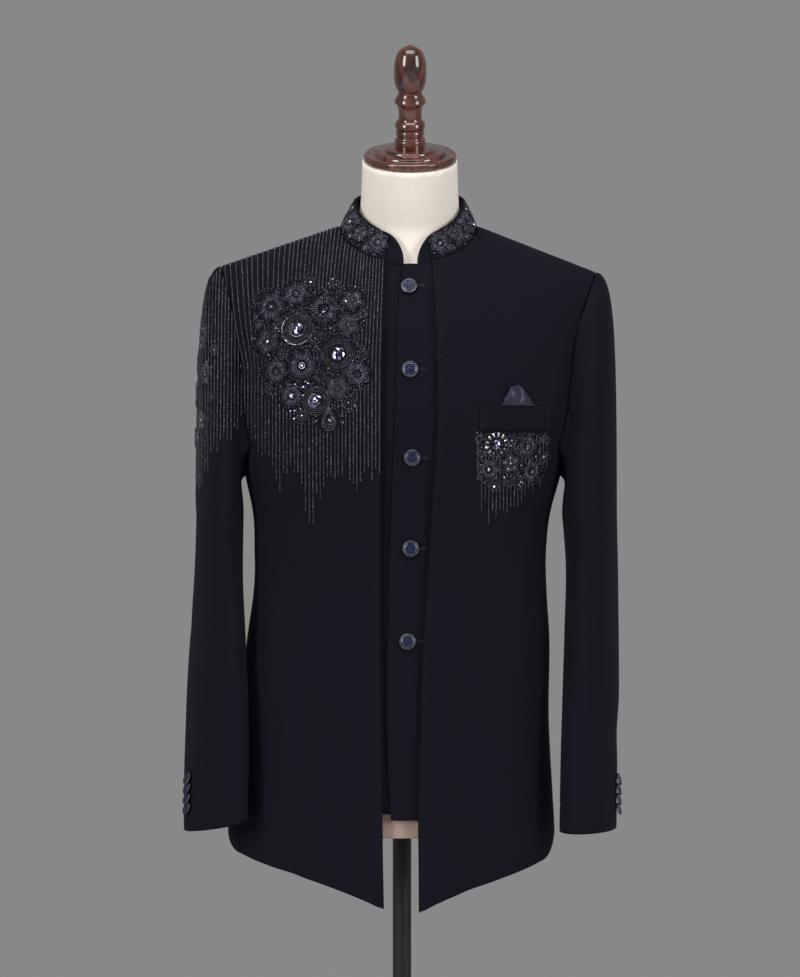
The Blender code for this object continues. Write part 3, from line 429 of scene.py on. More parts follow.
def body_ring(turn, height):
    """A point of the level section, turn being 0 in front and 90 at the wearer's left."""
    middle = smooth_rows(BODY_SECTIONS, height, 1)
    half = smooth_rows(BODY_SECTIONS, height, 2)
    sine, cosine = sine_cosine(turn)
    depth = smooth_rows(BODY_SECTIONS, height, 3 if cosine > 0 else 4)
    roundness = (abs(sine) / half) ** BODY_POWER + (abs(cosine) / depth) ** BODY_POWER
    reach = roundness ** (-1 / BODY_POWER)
    for place, top, bottom, width, fold in BODY_FOLDS:
        away = wrap(turn - place)
        if abs(away) < width:
            rise = min(ease((top - height) / FOLD_FADE), ease((height - bottom + FOLD_FADE) / FOLD_FADE))
            reach += fold * bump(away / width) * rise
    return Vector((middle + reach * sine, -reach * cosine, height))


def crease(turn, level):
    """How far the cloth dips in its slight creases."""
    dip = 0.0
    for place, middle, width, tall, lean, fold in BODY_CREASES:
        rise = level - middle
        if abs(rise) < tall:
            away = wrap(turn - place - lean * rise)
            dip += fold * bump(away / width) * bump(rise / tall)
    return dip


def neckline(around):
    """A point of the neckline, around being 0 in front and 180 at the back."""
    sine, cosine = sine_cosine(around)
    reach = NECK_FRONT_REACH if cosine > 0 else NECK_BACK_REACH
    rise = NECK_FRONT_DROP if cosine > 0 else NECK_BACK_RISE
    return Vector((NECK_MIDDLE_X + NECK_HALF_WIDTH * sine,
                   NECK_SIDE_Y - reach * cosine, NECK_SIDE_Z - rise * cosine))


def armhole_turn(height, behind=False):
    """Turn of the armhole's edge at a height, from the front, or from the back if behind."""
    height = min(height, CHEST_TOP)
    depth = smooth_rows(ARMHOLE_DEPTHS, height, 2 if behind else 1)
    full = smooth_rows(BODY_SECTIONS, height, 4 if behind else 3)
    half = smooth_rows(BODY_SECTIONS, height, 2)
    across = half * (1 - (depth / full) ** BODY_POWER) ** (1 / BODY_POWER)
    return math.degrees(math.atan2(across, depth))


def torso(turn, level):
    """The jacket's outer surface: sections up to the chest, then curves to neck and shoulder."""
    if level <= CHEST_TOP:
        return body_ring(turn, level)
    turn = wrap(turn)
    side = 1 if turn >= 0 else -1
    behind = abs(turn) > 90
    own = 180 - abs(turn) if behind else abs(turn)
    neck_turn = NECK_TURN_BACK if behind else NECK_TURN_FRONT
    arm_turn = armhole_turn(CHEST_TOP, behind)
    forward = -1 if behind else 1
    start = body_ring(turn, CHEST_TOP)
    up = (start - body_ring(turn, CHEST_TOP - 20)).normalized()
    neck_side = neckline(90 * side)
    seam = (SHOULDER_POINT[side] - neck_side).normalized()
    at_neck_side = (Vector((0, forward, 0)) - ARRIVE_ALONG_SEAM * seam).normalized()
    if own <= neck_turn:
        share = own / neck_turn
        around = 90 * share
        end = neckline(side * (180 - around if behind else around))
        level_part = forward * (ARRIVE_BEHIND if behind else ARRIVE_IN_FRONT)
        arrive = Vector((0, level_part, ARRIVE_UP)).lerp(at_neck_side, share)
        pull = YOKE_PULL
    else:
        share = (own - neck_turn) / (arm_turn - neck_turn)
        end = neck_side.lerp(SHOULDER_POINT[side], share)
        arrive = Vector((0, forward, 0)) - ARRIVE_ALONG_SEAM * (1 - share) * seam
        pull = YOKE_PULL - SHOULDER_LESS * share
    arrive.normalize()
    length = (end - start).length
    a, b = start + up * length * YOKE_PULL, end - arrive * length * pull
    return curve(start, a, b, end, (level - CHEST_TOP) / YOKE_RISE)


def torso_normal(turn, level):
    """Outward direction of the jacket's surface."""
    across = torso(turn + 0.4, level) - torso(turn - 0.4, level)
    if abs(level - CHEST_TOP) < 0.6:
        level += 0.6
    upward = torso(turn, level + 0.5) - torso(turn, level - 0.5)
    return across.cross(upward).normalized()


def turn_at_x(x_of, level):
    """Turn of the point in front whose X is what x_of gives for its height."""
    low, high = -80.0, 80.0
    for _ in range(BISECTIONS):
        middle = (low + high) / 2
        point = torso(middle, level)
        if point.x < x_of(point.z):
            low = middle
        else:
            high = middle
    return (low + high) / 2


def edge_table(rows, column):
    """Turn of a front edge at levels from hem to neckline, worked out once."""
    levels = [rows[0][0] + (TOP_LEVEL - rows[0][0]) * n / 60 for n in range(61)]
    return [(level, turn_at_x(lambda z: smooth_rows(rows, z, column), level)) for level in levels]


EDGE_TURNS = {1: edge_table(FRONT_EDGES, 1), -1: edge_table(FRONT_EDGES, 2)}


def front_hem(side, turn):
    """Height of an outer front's hem at a turn: a long point that rises to the side."""
    tip, rise, power = FRONT_HEM[side]
    start = smooth_rows(EDGE_TURNS[side], tip, 1) * side
    share = max(abs(turn) - start, 0.0) / (90 - start)
    return tip + rise * share ** power + POINT_ROUNDING * bump(share / ROUNDED_SHARE)


def shares(count, soft=0.0):
    """Even steps from 0 to 1, closer together at both ends by the soft amount."""
    steps = [n / count for n in range(count + 1)]
    return [t - soft * math.sin(math.tau * t) / math.tau for t in steps]


def levels_between(low, high, count, soft):
    """Levels from a low to a high one, closer together at both ends."""
    return [low + (high - low) * v for v in shares(count, soft)]


def as_grid(points):
    """An array of rows of points."""
    return np.array([[tuple(point) for point in row] for row in points], float)


def run_of(points, axis):
    """Length run along each row (axis 1) or up each column (axis 0) of a grid of points."""
    steps = np.linalg.norm(np.diff(points, axis=axis), axis=2)
    return np.insert(np.cumsum(steps, axis=axis), 0, 0.0, axis=axis)


TINY = 1e-9     # keeps a division by a length away from zero


def unit(vectors):
    """Vectors of length 1 in the same directions."""
    return vectors / np.maximum(np.linalg.norm(vectors, axis=-1, keepdims=True), TINY)


def smooth_normals(points, flip=1):
    """Outward normals of a grid of points, from its own neighbours."""
    across = np.gradient(points, axis=1)
    upward = np.gradient(points, axis=0)
    return unit(np.cross(across, upward) * flip)


def placed_piece(name, mesh):
    """A fixed piece of the object."""
    piece = bpy.data.objects.new(name, mesh)
    scene.collection.objects.link(piece)
    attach(piece, "root")
    return piece


# A cloth's rolled edge, in thicknesses: how far it is set back, sunk, and sunk at its middle
EDGE_BACK, EDGE_SUNK, EDGE_MIDDLE = 0.30, 0.08, 0.45
SEAM_DRAW = 0.6             # share of the seam's gap by which a sewn side is drawn in


def cloth_shell(name, points, thickness, look, lift=None, seams=(), flip=1,
                relief=None):
    """A thin cloth wall on a grid of points in millimetres, with its edges rolled round.

    Rows run upwards and columns along the front. Each named side is drawn in for its seam.
    """
    points = as_grid(points)
    rows, columns = points.shape[:2]
    normals = smooth_normals(points, flip)
    outside = points.copy()
    if lift is not None:
        outside += normals * np.array(lift, float)[:, :, None]
    if relief is not None:
        outside += normals * relief[:, :, None]
    draws = {"first": (np.s_[:, 0], np.s_[:, 1]), "last": (np.s_[:, -1], np.s_[:, -2]),
             "top": (np.s_[-1], np.s_[-2]), "armhole": (np.s_[-1], np.s_[-2])}
    for side in seams:
        edge, near = draws[side]
        gap = ARMHOLE_GAP if side == "armhole" else SEAM_GAP * SEAM_DRAW
        outside[edge] = outside[edge] + unit(outside[near] - outside[edge]) * gap
    inside = outside - normals * thickness
    count = rows * columns
    border = [r * columns for r in range(rows - 1)]
    border += [(rows - 1) * columns + c for c in range(columns - 1)]
    border += [r * columns + columns - 1 for r in range(rows - 1, 0, -1)]
    border += list(range(columns - 1, 0, -1))
    flat_out, flat_in = outside.reshape(-1, 3), inside.reshape(-1, 3)
    flat_normals = normals.reshape(-1, 3)
    # The rolled edge: the outside's last ring is set back, and a middle ring rounds it
    roll = []
    places = flat_out.copy()
    for i in border:
        r, c = divmod(i, columns)
        near = (min(max(r, 1), rows - 2)) * columns + min(max(c, 1), columns - 2)
        away = flat_out[i] - flat_out[near]
        away -= flat_normals[i] * away.dot(flat_normals[i])
        away /= max(np.linalg.norm(away), TINY)
        places[i] = flat_out[i] - away * EDGE_BACK * thickness - flat_normals[i] * EDGE_SUNK * thickness
        roll.append(flat_out[i] - flat_normals[i] * EDGE_MIDDLE * thickness)
        flat_in[i] -= away * EDGE_BACK * thickness
    vertices = np.vstack([places, flat_in, np.array(roll)]) * MM
    grid = np.arange(count).reshape(rows, columns)
    quads = np.stack([grid[:-1, :-1], grid[:-1, 1:], grid[1:, 1:], grid[1:, :-1]], axis=2)
    quads = quads.reshape(-1, 4)[:, ::flip]
    faces = [tuple(quad) for quad in quads]
    faces += [tuple(quad + count) for quad in quads[:, ::-1]]
    loops = [(border[n], border[(n + 1) % len(border)]) for n in range(len(border))]
    for n, (i, j) in enumerate(loops):
        p, q = 2 * count + n, 2 * count + (n + 1) % len(border)
        for quad in ((i, j, q, p), (p, q, j + count, i + count)):
            faces.append(quad[::flip])
    mesh = bpy.data.meshes.new(name)
    mesh.from_pydata(vertices.tolist(), [], faces)
    wide, tall = run_of(points, 1), run_of(points, 0)
    wide -= wide[:, columns // 2][:, None]
    flat_uv = np.stack([wide, tall], axis=2).reshape(-1, 2) * MM
    uv = np.vstack([flat_uv, flat_uv, flat_uv[border]])
    layer = mesh.uv_layers.new(name="cloth")
    corners = np.empty(len(mesh.loops), int)
    mesh.loops.foreach_get("vertex_index", corners)
    layer.data.foreach_set("uv", uv[corners].ravel())
    mesh.materials.append(look)
    mesh.shade_smooth()
    return placed_piece(name, mesh)


def declare_cloth(solid):
    """Stand for a solid by hiding it.

    A closed thin wall's surface is twice its cloth's area.
    """
    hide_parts(solid)


def front_places(side, count_across, count_low, count_high):
    """Turn and level of each point of an outer front, from its edge to its seam."""
    places = []
    for v in shares(count_low, 0.5)[:-1]:
        row = []
        for u in shares(count_across, 0.45):
            level = SCYE
            for _ in range(4):
                edge = smooth_rows(EDGE_TURNS[side], level, 1)
                seam = side * smooth_rows(SIDE_SEAMS, level, 1)
                turn = edge + (seam - edge) * u
                hem = front_hem(side, turn)
                level = hem + (SCYE - hem) * v
            row.append((turn, level))
        places.append(row)
    for level in levels_between(SCYE, TOP_LEVEL, count_high, 0.3):
        edge = smooth_rows(EDGE_TURNS[side], level, 1)
        seam = side * armhole_turn(level)
        places.append([(edge + (seam - edge) * u, level) for u in shares(count_across, 0.45)])
    return places


# Height and half width of the pressed edge's ridge, of the groove behind it and of the hem's
EDGE_RIDGE, EDGE_GROOVE, GROOVE_BEHIND = (0.35, 5.0), (0.25, 4.0), 7
HEM_GROOVE = (0.30, 3.0)
EDGE_PRESSED, HEM_TURNED_UP = 13.0, 34.0


def ridge(distance, height, width):
    """Height of a smooth ridge at a distance from its top."""
    return height * np.exp(-(distance / width) ** 2)


def press_marks(points, hem, edge=0.0):
    """Relief of the turned-up hem and of a pressed front edge, seen through the cloth."""
    points = as_grid(points)
    relief = np.zeros(points.shape[:2])
    if edge:
        along = run_of(points, 1)
        relief += ridge(along - edge, *EDGE_RIDGE) - ridge(along - edge - GROOVE_BEHIND, *EDGE_GROOVE)
    return relief - ridge(run_of(points, 0) - hem, *HEM_GROOVE)


def torso_grid(places):
    """Points of the jacket's surface at a grid of (turn, level), with its slight creases."""
    grid = []
    for row in places:
        line = []
        for turn, level in row:
            point = torso(turn, level)
            dip = crease(turn, level)
            if dip:
                point = point + torso_normal(turn, level) * dip
            line.append(point)
        grid.append(line)
    return grid


SIDES = ((1, "left"), (-1, "right"))
outer_fronts = {}
for side, word in SIDES:
    points = torso_grid(front_places(side, 44, 84, 40))
    piece = cloth_shell("outer_front_%s_cloth" % word, points, CLOTH, SUITING, seams=("last", "top"),
                        flip=side, relief=press_marks(points, HEM_TURNED_UP, EDGE_PRESSED))
    declare_cloth("outer_front_" + word)
    outer_fronts[side] = piece


# The side panels and the back
# A narrow panel under each arm and two back panels with a centre back seam, all of the same
# suiting. The hem is level behind and turned up, without a vent.

SIDE_HEM, BACK_HEM = 744.0, 758.0


def underarm_level(share):
    """Height of the armhole's low curve across the side panel."""
    return SCYE - (SCYE - UNDERARM) * math.sin(math.pi * share)


def side_turn(side, share, level):
    """Turn of a place of the side panel, share being 0 at its front seam and 1 at its back one."""
    front_turn = smooth_rows(SIDE_SEAMS, level, 1)
    back_turn = 180 - smooth_rows(SIDE_SEAMS, level, 2)
    return side * (front_turn + (back_turn - front_turn) * share)


def side_places(side):
    """Turn and level of each point of a side panel, from its front seam to its back seam."""
    hem_turn = smooth_rows(SIDE_SEAMS, SIDE_HEM, 1)
    places = []
    for v in shares(84, 0.4):
        row = []
        for share in shares(16):
            behind = ease(2 * share)
            hem = front_hem(side, hem_turn) * (1 - behind) + BACK_HEM * behind
            level = hem + (underarm_level(share) - hem) * v
            row.append((side_turn(side, share, level), level))
        places.append(row)
    return places


def back_places(side):
    """Turn and level of each point of a back panel, from the centre back to its side seam."""
    places = []
    low_levels = levels_between(BACK_HEM, SCYE, 80, 0.4)[:-1]
    for level in low_levels + levels_between(SCYE, TOP_LEVEL, 40, 0.3):
        seam = armhole_turn(level, behind=True) if level >= SCYE else smooth_rows(SIDE_SEAMS, level, 2)
        places.append([(side * (180 - seam * u), level) for u in shares(40, 0.45)])
    return places


for side, word in SIDES:
    for part, places, flip in (("side_panel", side_places(side), side), ("back", back_places(side), -side)):
        name = "%s_%s" % (part, word)
        points = torso_grid(places)
        piece = cloth_shell(name + "_cloth", points, CLOTH, SUITING, seams=("first", "last", "top"),
                            flip=flip, relief=press_marks(points, HEM_TURNED_UP))
        declare_cloth(name)


# The sleeves
# Two-piece tailored sleeves, eased into the armhole so that the head stands up a little. The
# upper and under sleeve meet in a front seam and an elbow seam, and hang slightly bent.

# Height, middle X, middle Y, half depth, half thickness, turn of the front inwards
SLEEVE_SECTIONS = {
    1: [
        (754, 212.2, -54, 50, 28.8, 26),
        (795, 213.2, -47, 53, 28.3, 25),
        (850, 215, -35, 57, 28.3, 23),
        (920, 218, -20, 61, 29, 20),
        (990, 219.5, -8, 66, 29, 16),
        (1060, 220.5, 0, 70, 29, 12),
        (1120, 218, 4, 74, 31.5, 8),
    ],
    -1: [
        (760, -211.6, -71, 50, 26, 40),
        (795, -212, -64, 53, 24.5, 39),
        (850, -212, -50, 57, 24, 36),
        (920, -212.4, -30, 61, 25, 30),
        (990, -213, -11, 66, 25, 22),
        (1060, -212.7, 0, 70, 26, 13),
        (1120, -211.5, 4, 74, 27, 8),
    ],
}
# How far a cuff's edge lies above its last section: the mean, and how much it slopes
CUFF_RISE = {1: (7.0, 0.0), -1: (8.0, 8.0)}
CUFF_SLOPE_PLACE = 35.0     # angle round the cuff where the edge is at its mean height
# Soft dents of a sleeve: angle round it, height, half angle, half height, depth
SLEEVE_FOLDS = [
    (75, 1010, 38, 26, -3.2),
    (110, 952, 40, 24, -2.6),
    (35, 905, 34, 34, -2.0),
    (-80, 1035, 45, 30, -3.0),
    (60, 1100, 30, 42, -2.0),
    (-30, 870, 34, 40, -1.8),
]
FOLD_THINNING = 0.8         # share of a dent by which the sleeve is thinner there
# Slight creases of the cloth: angle, height, half angle, half height, lean, depth
SLEEVE_CREASES = [
    (62, 1000, 11, 80, 0.10, -0.9),
    (40, 1090, 10, 110, -0.04, -0.8),
    (96, 930, 11, 60, 0.12, -0.9),
    (25, 860, 12, 90, 0.03, -0.7),
    (-40, 980, 12, 70, -0.12, -0.9),
    (-70, 1090, 12, 90, 0.05, -0.9),
    (150, 1000, 14, 80, 0.08, -0.8),
    (200, 930, 14, 70, -0.08, -0.9),
    (80, 1150, 9, 60, 0.06, -0.7),
]
# Places round the armhole, 0 at the shoulder, and the level of the body's edge there
ARMHOLE_POINTS = 18
FRONT_ARMHOLE = list(enumerate([1410, 1386, 1362, 1338, 1314, 1290, 1240, 1195]))
BACK_ARMHOLE = [(ARMHOLE_POINTS - place, level) for place, level in reversed(FRONT_ARMHOLE)]
UNDERARM_FROM, UNDERARM_TO = 7, 11
FRONT_SLEEVE_SEAM, BACK_SLEEVE_SEAM = 6, 15
# How the cloth leaves the armhole: forward, down, further down under the arm, how far it
# reaches out, how much less under the arm, and how long it then hangs straight
HEAD_FORWARD, HEAD_FALL, UNDERARM_FALL = 0.55, 0.06, 0.6
HEAD_REACH, UNDERARM_LESS, CAP_PULL = 24, 12, 0.7
CAP_CROWDING = 1.35         # power by which the rows crowd towards the armhole
CUFF_TURNED_UP = 30.0


def armhole(side, place):
    """A point of the body's armhole edge."""
    place %= ARMHOLE_POINTS
    if place <= UNDERARM_FROM:
        level = smooth_rows(FRONT_ARMHOLE, place, 1)
        return torso(side * armhole_turn(level), level)
    if place >= UNDERARM_TO:
        level = smooth_rows(BACK_ARMHOLE, place, 1)
        return torso(side * (180 - armhole_turn(level, behind=True)), level)
    share = (place - UNDERARM_FROM) / (UNDERARM_TO - UNDERARM_FROM)
    level = underarm_level(share)
    return torso(side_turn(side, share, level), level)


def sleeve_ring(side, angle, height):
    """A point of the sleeve below its cap, the angle being 0 outside and 90 in front."""
    rows = SLEEVE_SECTIONS[side]
    x, y, deep, thick, yaw = (smooth_rows(rows, height, column) for column in range(1, 6))
    for place, level, width, tall, fold in SLEEVE_FOLDS:
        dent = fold * bump(wrap(angle - place) / width) * bump((height - level) / tall)
        deep, thick = deep + dent, thick + dent * FOLD_THINNING
    for place, level, width, tall, lean, fold in SLEEVE_CREASES:
        away = wrap(angle - place - lean * (height - level))
        dent = fold * bump(away / width) * bump((height - level) / tall)
        deep, thick = deep + dent, thick + dent
    inward, straight = sine_cosine(yaw)
    sine, cosine = sine_cosine(angle)
    outward = Vector((side * straight, -inward, 0))
    forward = Vector((-side * inward, -straight, 0))
    return Vector((x, y, height)) + outward * (thick * cosine) + forward * (deep * sine)


def sleeve_column(side, place, cap_steps, ring_steps):
    """Points down the sleeve at a place round it, from the armhole to the cuff."""
    angle = 360 * place / ARMHOLE_POINTS
    start = armhole(side, place)
    mean, slope = CUFF_RISE[side]
    bottom, top = SLEEVE_SECTIONS[side][0][0], SLEEVE_SECTIONS[side][-1][0]
    bottom = bottom + mean + slope * math.sin(math.radians(angle - CUFF_SLOPE_PLACE))
    end = sleeve_ring(side, angle, top)
    sine, cosine = sine_cosine(angle)
    low = (1 - cosine) / 2
    out = Vector((side, -HEAD_FORWARD * sine, -HEAD_FALL - UNDERARM_FALL * low)).normalized()
    a = start + out * (HEAD_REACH - UNDERARM_LESS * low)
    b = end + Vector((0, 0, CAP_PULL * (start.z - end.z)))
    column = [curve(start, a, b, end, t) for t in cap_steps]
    return column + [sleeve_ring(side, angle, top + (bottom - top) * t) for t in ring_steps]


def sleeve_points(side, first, last, across):
    """Grid of a sleeve piece, rows running up from the cuff to the armhole."""
    cap_steps = [t ** CAP_CROWDING for t in shares(30)[:-1]]
    ring_steps = shares(60)
    places = [first + (last - first) * u for u in shares(across, 0.2)]
    columns = [sleeve_column(side, place, cap_steps, ring_steps) for place in places]
    return [[column[r] for column in columns] for r in range(len(columns[0]) - 1, -1, -1)]


sleeve_cloth = {}
for side, word in SIDES:
    for part, first, last in (("upper", BACK_SLEEVE_SEAM, FRONT_SLEEVE_SEAM + ARMHOLE_POINTS),
                              ("under", FRONT_SLEEVE_SEAM, BACK_SLEEVE_SEAM)):
        points = sleeve_points(side, first, last, 52)
        name = "sleeve_%s_%s" % (part, word)
        piece = cloth_shell(name + "_cloth", points, CLOTH, SUITING, seams=("first", "last", "armhole"),
                            flip=-side, relief=press_marks(points, CUFF_TURNED_UP))
        declare_cloth(name)
        sleeve_cloth[part, side] = piece


# The inner front
# A plain mock waistcoat front of a thinner navy cloth. The wearer's left laps over the right at
# the centre line, and the outer sides are sewn in under the outer fronts.

INNER_CLOTH, INNER_CLEAR, INNER_SINK = 1.4, 0.9, 3.0
# Height, X of the lap edge, X where the left ends, X where the right ends on its two sides
INNER_EDGES = [
    (778, -12.4, 108, 14, -104),
    (878, -17.2, 108, 10, -106),
    (1050, -15.4, 102, 10, -104),
    (1145, -11.4, 96, 12, -98),
    (1240, -7.6, 90, 16, -92),
    (1330, -5.6, 82, 19, -84),
    (1410, 1.2, 62, 18.4, -48),
]
INNER_HEM = {1: 778.0, -1: 785.0}
INNER_EDGE_PRESSED, INNER_TURNED_UP = 9.0, 24.0
# The front is sunk most near the neck's middle; the right half lies under the left's lap too
SINK_FLAT, SINK_FADE, SINK_TOP_FADE = 18, 60, 60
LAP_UNDER, LAP_FADE = 16, 26
INNER_SUITING = cloth_material("inner_suiting_cloth", (0.0042, 0.0038, 0.0076), (0.0074, 0.0067, 0.0124),
                               1900.0, (0.74, 0.86), 0.02, 0.3, twill=0.2)


def inner_grid(side):
    """Points on the body's surface and how deep under it the inner front lies."""
    start_column, end_column = (1, 2) if side > 0 else (3, 4)
    low_levels = levels_between(INNER_HEM[side], SCYE, 70, 0.4)[:-1]
    points, lifts = [], []
    for level in low_levels + levels_between(SCYE, TOP_LEVEL, 40, 0.3):
        first = turn_at_x(lambda z: smooth_rows(INNER_EDGES, z, start_column), level)
        last = turn_at_x(lambda z: smooth_rows(INNER_EDGES, z, end_column), level)
        row, depths = [], []
        for u in shares(28, 0.5):
            point = torso(first + (last - first) * u, level)
            away = abs(point.x - NECK_MIDDLE_X)
            sink = INNER_SINK * (1 - ease((away - SINK_FLAT) / SINK_FADE))
            sink *= ease((TOP_LEVEL - level) / SINK_TOP_FADE)
            if side < 0:
                under = smooth_rows(INNER_EDGES, point.z, 1) - LAP_UNDER - point.x
                sink += (INNER_CLOTH + INNER_CLEAR) * (1 - ease(under / LAP_FADE))
            row.append(point)
            depths.append(-(CLOTH + INNER_CLEAR + sink))
        points.append(row)
        lifts.append(depths)
    return points, lifts


inner_fronts = {}
for side, word in SIDES:
    points, lifts = inner_grid(side)
    relief = press_marks(points, INNER_TURNED_UP, INNER_EDGE_PRESSED if side > 0 else 0)
    piece = cloth_shell("inner_front_%s_cloth" % word, points, INNER_CLOTH, INNER_SUITING, lift=lifts,
                        seams=("top",), flip=side, relief=relief)
    declare_cloth("inner_front_" + word)
    inner_fronts[side] = piece


# The two stand collars
# The outer collar is a firm curved band with its ends at the outer front edges. The inner one
# belongs to the inner front, stands inside it and closes at the throat with round ends.

COLLAR_TOP_HALF_WIDTH, COLLAR_TOP_MIDDLE_X, COLLAR_TOP_Y = 62.5, 8.7, -2.0
COLLAR_TOP_FRONT_REACH, COLLAR_TOP_BACK_REACH = 54.0, 61.0
COLLAR_TOP_Z, COLLAR_TOP_FRONT_DROP, COLLAR_TOP_BACK_RISE = 1486.0, 46.0, 18.0
COLLAR_ENDS = {1: 19.5, -1: -20.5}
INNER_COLLAR_ENDS = {1: 7.4, -1: -4.2}
INNER_COLLAR_ROUND = 23.0
COLLAR_END_DROP, COLLAR_END_TURN = 0.13, 17.0
# Share of the outer and of the inner collar that is sewn in below the neckline
COLLAR_TUCK, INNER_COLLAR_TUCK = 0.012, 0.09
INNER_COLLAR_HEIGHT, ROUND_END_LOWEST = 0.98, 0.12
COLLAR_BOW = -1.2           # its middle lies this far inside the straight line
COLLAR_STEPS, COLLAR_ROWS = 150, 14
SEWN_DEPTH, SEWN_SHARE = 1.9, 0.16      # the inner collar's lowest part is sewn in this deep


def collar_top(around):
    """A point of the collar's upper edge."""
    sine, cosine = sine_cosine(around)
    reach = COLLAR_TOP_FRONT_REACH if cosine > 0 else COLLAR_TOP_BACK_REACH
    rise = COLLAR_TOP_FRONT_DROP if cosine > 0 else COLLAR_TOP_BACK_RISE
    return Vector((COLLAR_TOP_MIDDLE_X + COLLAR_TOP_HALF_WIDTH * sine,
                   COLLAR_TOP_Y - reach * cosine, COLLAR_TOP_Z - rise * cosine))


def collar_surface(around, share):
    """Outer surface of the stand collar, share being 0 at the neckline; it curves in a little."""
    low, high = neckline(around), collar_top(around)
    sine, cosine = sine_cosine(around)
    middle = low.lerp(high, 0.5) + Vector((sine, -cosine, 0)) * COLLAR_BOW
    return low * (1 - share) ** 2 + middle * 2 * share * (1 - share) + high * share ** 2


def collar_points(ends, tuck, rounded=0.0):
    """Grid of a collar between its two front ends, round the back of the neck."""
    start, end = ends[1], 360 + ends[-1]
    turns = levels_between(start, end, COLLAR_STEPS, 0.6)
    points = []
    for r in shares(COLLAR_ROWS):
        line = []
        for around in turns:
            from_end = min(around - start, end - around)
            if rounded:
                arc = math.sqrt(1 - max(1 - from_end / rounded, 0) ** 2)
                height = INNER_COLLAR_HEIGHT * max(arc, ROUND_END_LOWEST)
            else:
                height = 1 - COLLAR_END_DROP * ease(1 - from_end / COLLAR_END_TURN)
            line.append(collar_surface(around, (height + tuck) * r - tuck))
        points.append(line)
    return points


collar_outer = cloth_shell("collar_outer_cloth", collar_points(COLLAR_ENDS, COLLAR_TUCK), CLOTH, SUITING)
declare_cloth("collar_outer")
sewn_in = [-(CLOTH + SEAM_GAP) - SEWN_DEPTH * (1 - ease(r / SEWN_SHARE)) for r in shares(COLLAR_ROWS)]
collar_inner = cloth_shell("collar_inner_cloth",
                           collar_points(INNER_COLLAR_ENDS, INNER_COLLAR_TUCK, INNER_COLLAR_ROUND),
                           INNER_CLOTH, INNER_SUITING,
                           lift=[[depth] * (COLLAR_STEPS + 1) for depth in sewn_in])
declare_cloth("collar_inner")


# The breast welt and the pocket square
# One welt of suiting is sewn on the wearer's left, with its ends stitched down. A square of
# dark blue satin is folded into soft points, pushed in behind it and tips forward.

WELT_X = (86.5, 165.5)
WELT_Z = (1215.5, 1242.5)
WELT_THICKNESS, WELT_LIFT = 1.9, 0.5
SQUARE_X = (109.0, 151.0)
SQUARE_PROUD = 4.5
# Place across the square, height of its folded edge
SQUARE_HEIGHTS = list(enumerate([3, 19, 22, 23, 18.5, 9.5, 2.5]))
SQUARE_THICKNESS, SQUARE_ABOVE, SQUARE_NARROWING = 1.4, 0.5, 0.25
SQUARE_ACROSS, SQUARE_UP = 54, 26


def tree_of(*pieces):
    """Search tree of pieces' surfaces in millimetres."""
    places, faces = [], []
    for piece in pieces:
        start = len(places)
        places += [vertex.co / MM for vertex in piece.data.vertices]
        faces += [[start + i for i in face.vertices] for face in piece.data.polygons]
    return BVHTree.FromPolygons(places, faces)


LEFT_FRONT = tree_of(outer_fronts[1])
RIGHT_FRONT = tree_of(outer_fronts[-1])


def seen_from_front(tree, x, z, lift=0.0):
    """The surface's nearest point to the front at this X and Z, moved out, and its normal."""
    place, normal, _, _ = tree.ray_cast(Vector((x, -400, z)), Vector((0, 1, 0)))
    if place is None:
        return None, None
    return place + normal * lift, normal


def front_grid(across, up, x_of, z_of):
    """Grid of points on the wearer's left front."""
    return [[seen_from_front(LEFT_FRONT, x_of(c / across, r / up), z_of(c / across, r / up))[0]
             for c in range(across + 1)] for r in range(up + 1)]


WELT_ACROSS, WELT_UP = 44, 14
points = front_grid(WELT_ACROSS, WELT_UP, lambda u, v: WELT_X[0] + (WELT_X[1] - WELT_X[0]) * u,
                    lambda u, v: WELT_Z[0] + (WELT_Z[1] - WELT_Z[0]) * v)
welt = cloth_shell("pocket_welt_cloth", points, WELT_THICKNESS, SUITING,
                   lift=np.full((WELT_UP + 1, WELT_ACROSS + 1), WELT_THICKNESS + WELT_LIFT))
declare_cloth("pocket_welt")

SATIN, tree, shader = new_material("dark_blue_satin")
metres = node(tree, "ShaderNodeUVMap", uv_map="cloth").outputs[0]
weave = weave_over(tree, metres, 3200.0, 0.9, 0.8)
wear, _ = wear_over(tree, 60.0, 1500.0, 0.2)
yarn_colour = mix_colour(tree, weave.outputs["Thread tone"], (0.007, 0.006, 0.018), (0.020, 0.018, 0.046))
worn = touched(tree, wear, "Patches", 0.3, yarn_colour, (0.026, 0.024, 0.060))
coloured(tree, shader, worn, wear, (0.34, 0.46))
bumped(tree, shader, weave.outputs["Height"], 0.2, 0.0001)
set_sockets(shader, Sheen_Weight=0.20, Sheen_Roughness=0.3, Sheen_Tint=(0.45, 0.42, 0.9, 1.0),
            Specular_IOR_Level=0.35)


def square_x(u, v):
    """The square narrows upwards."""
    return SQUARE_X[0] + (SQUARE_X[1] - SQUARE_X[0]) * (0.5 + (u - 0.5) * (1 - SQUARE_NARROWING * v))


def square_z(u, v):
    """Its folded edge rises to a soft point."""
    return WELT_Z[1] + SQUARE_ABOVE + smooth_rows(SQUARE_HEIGHTS, SQUARE_HEIGHTS[-1][0] * u, 1) * v


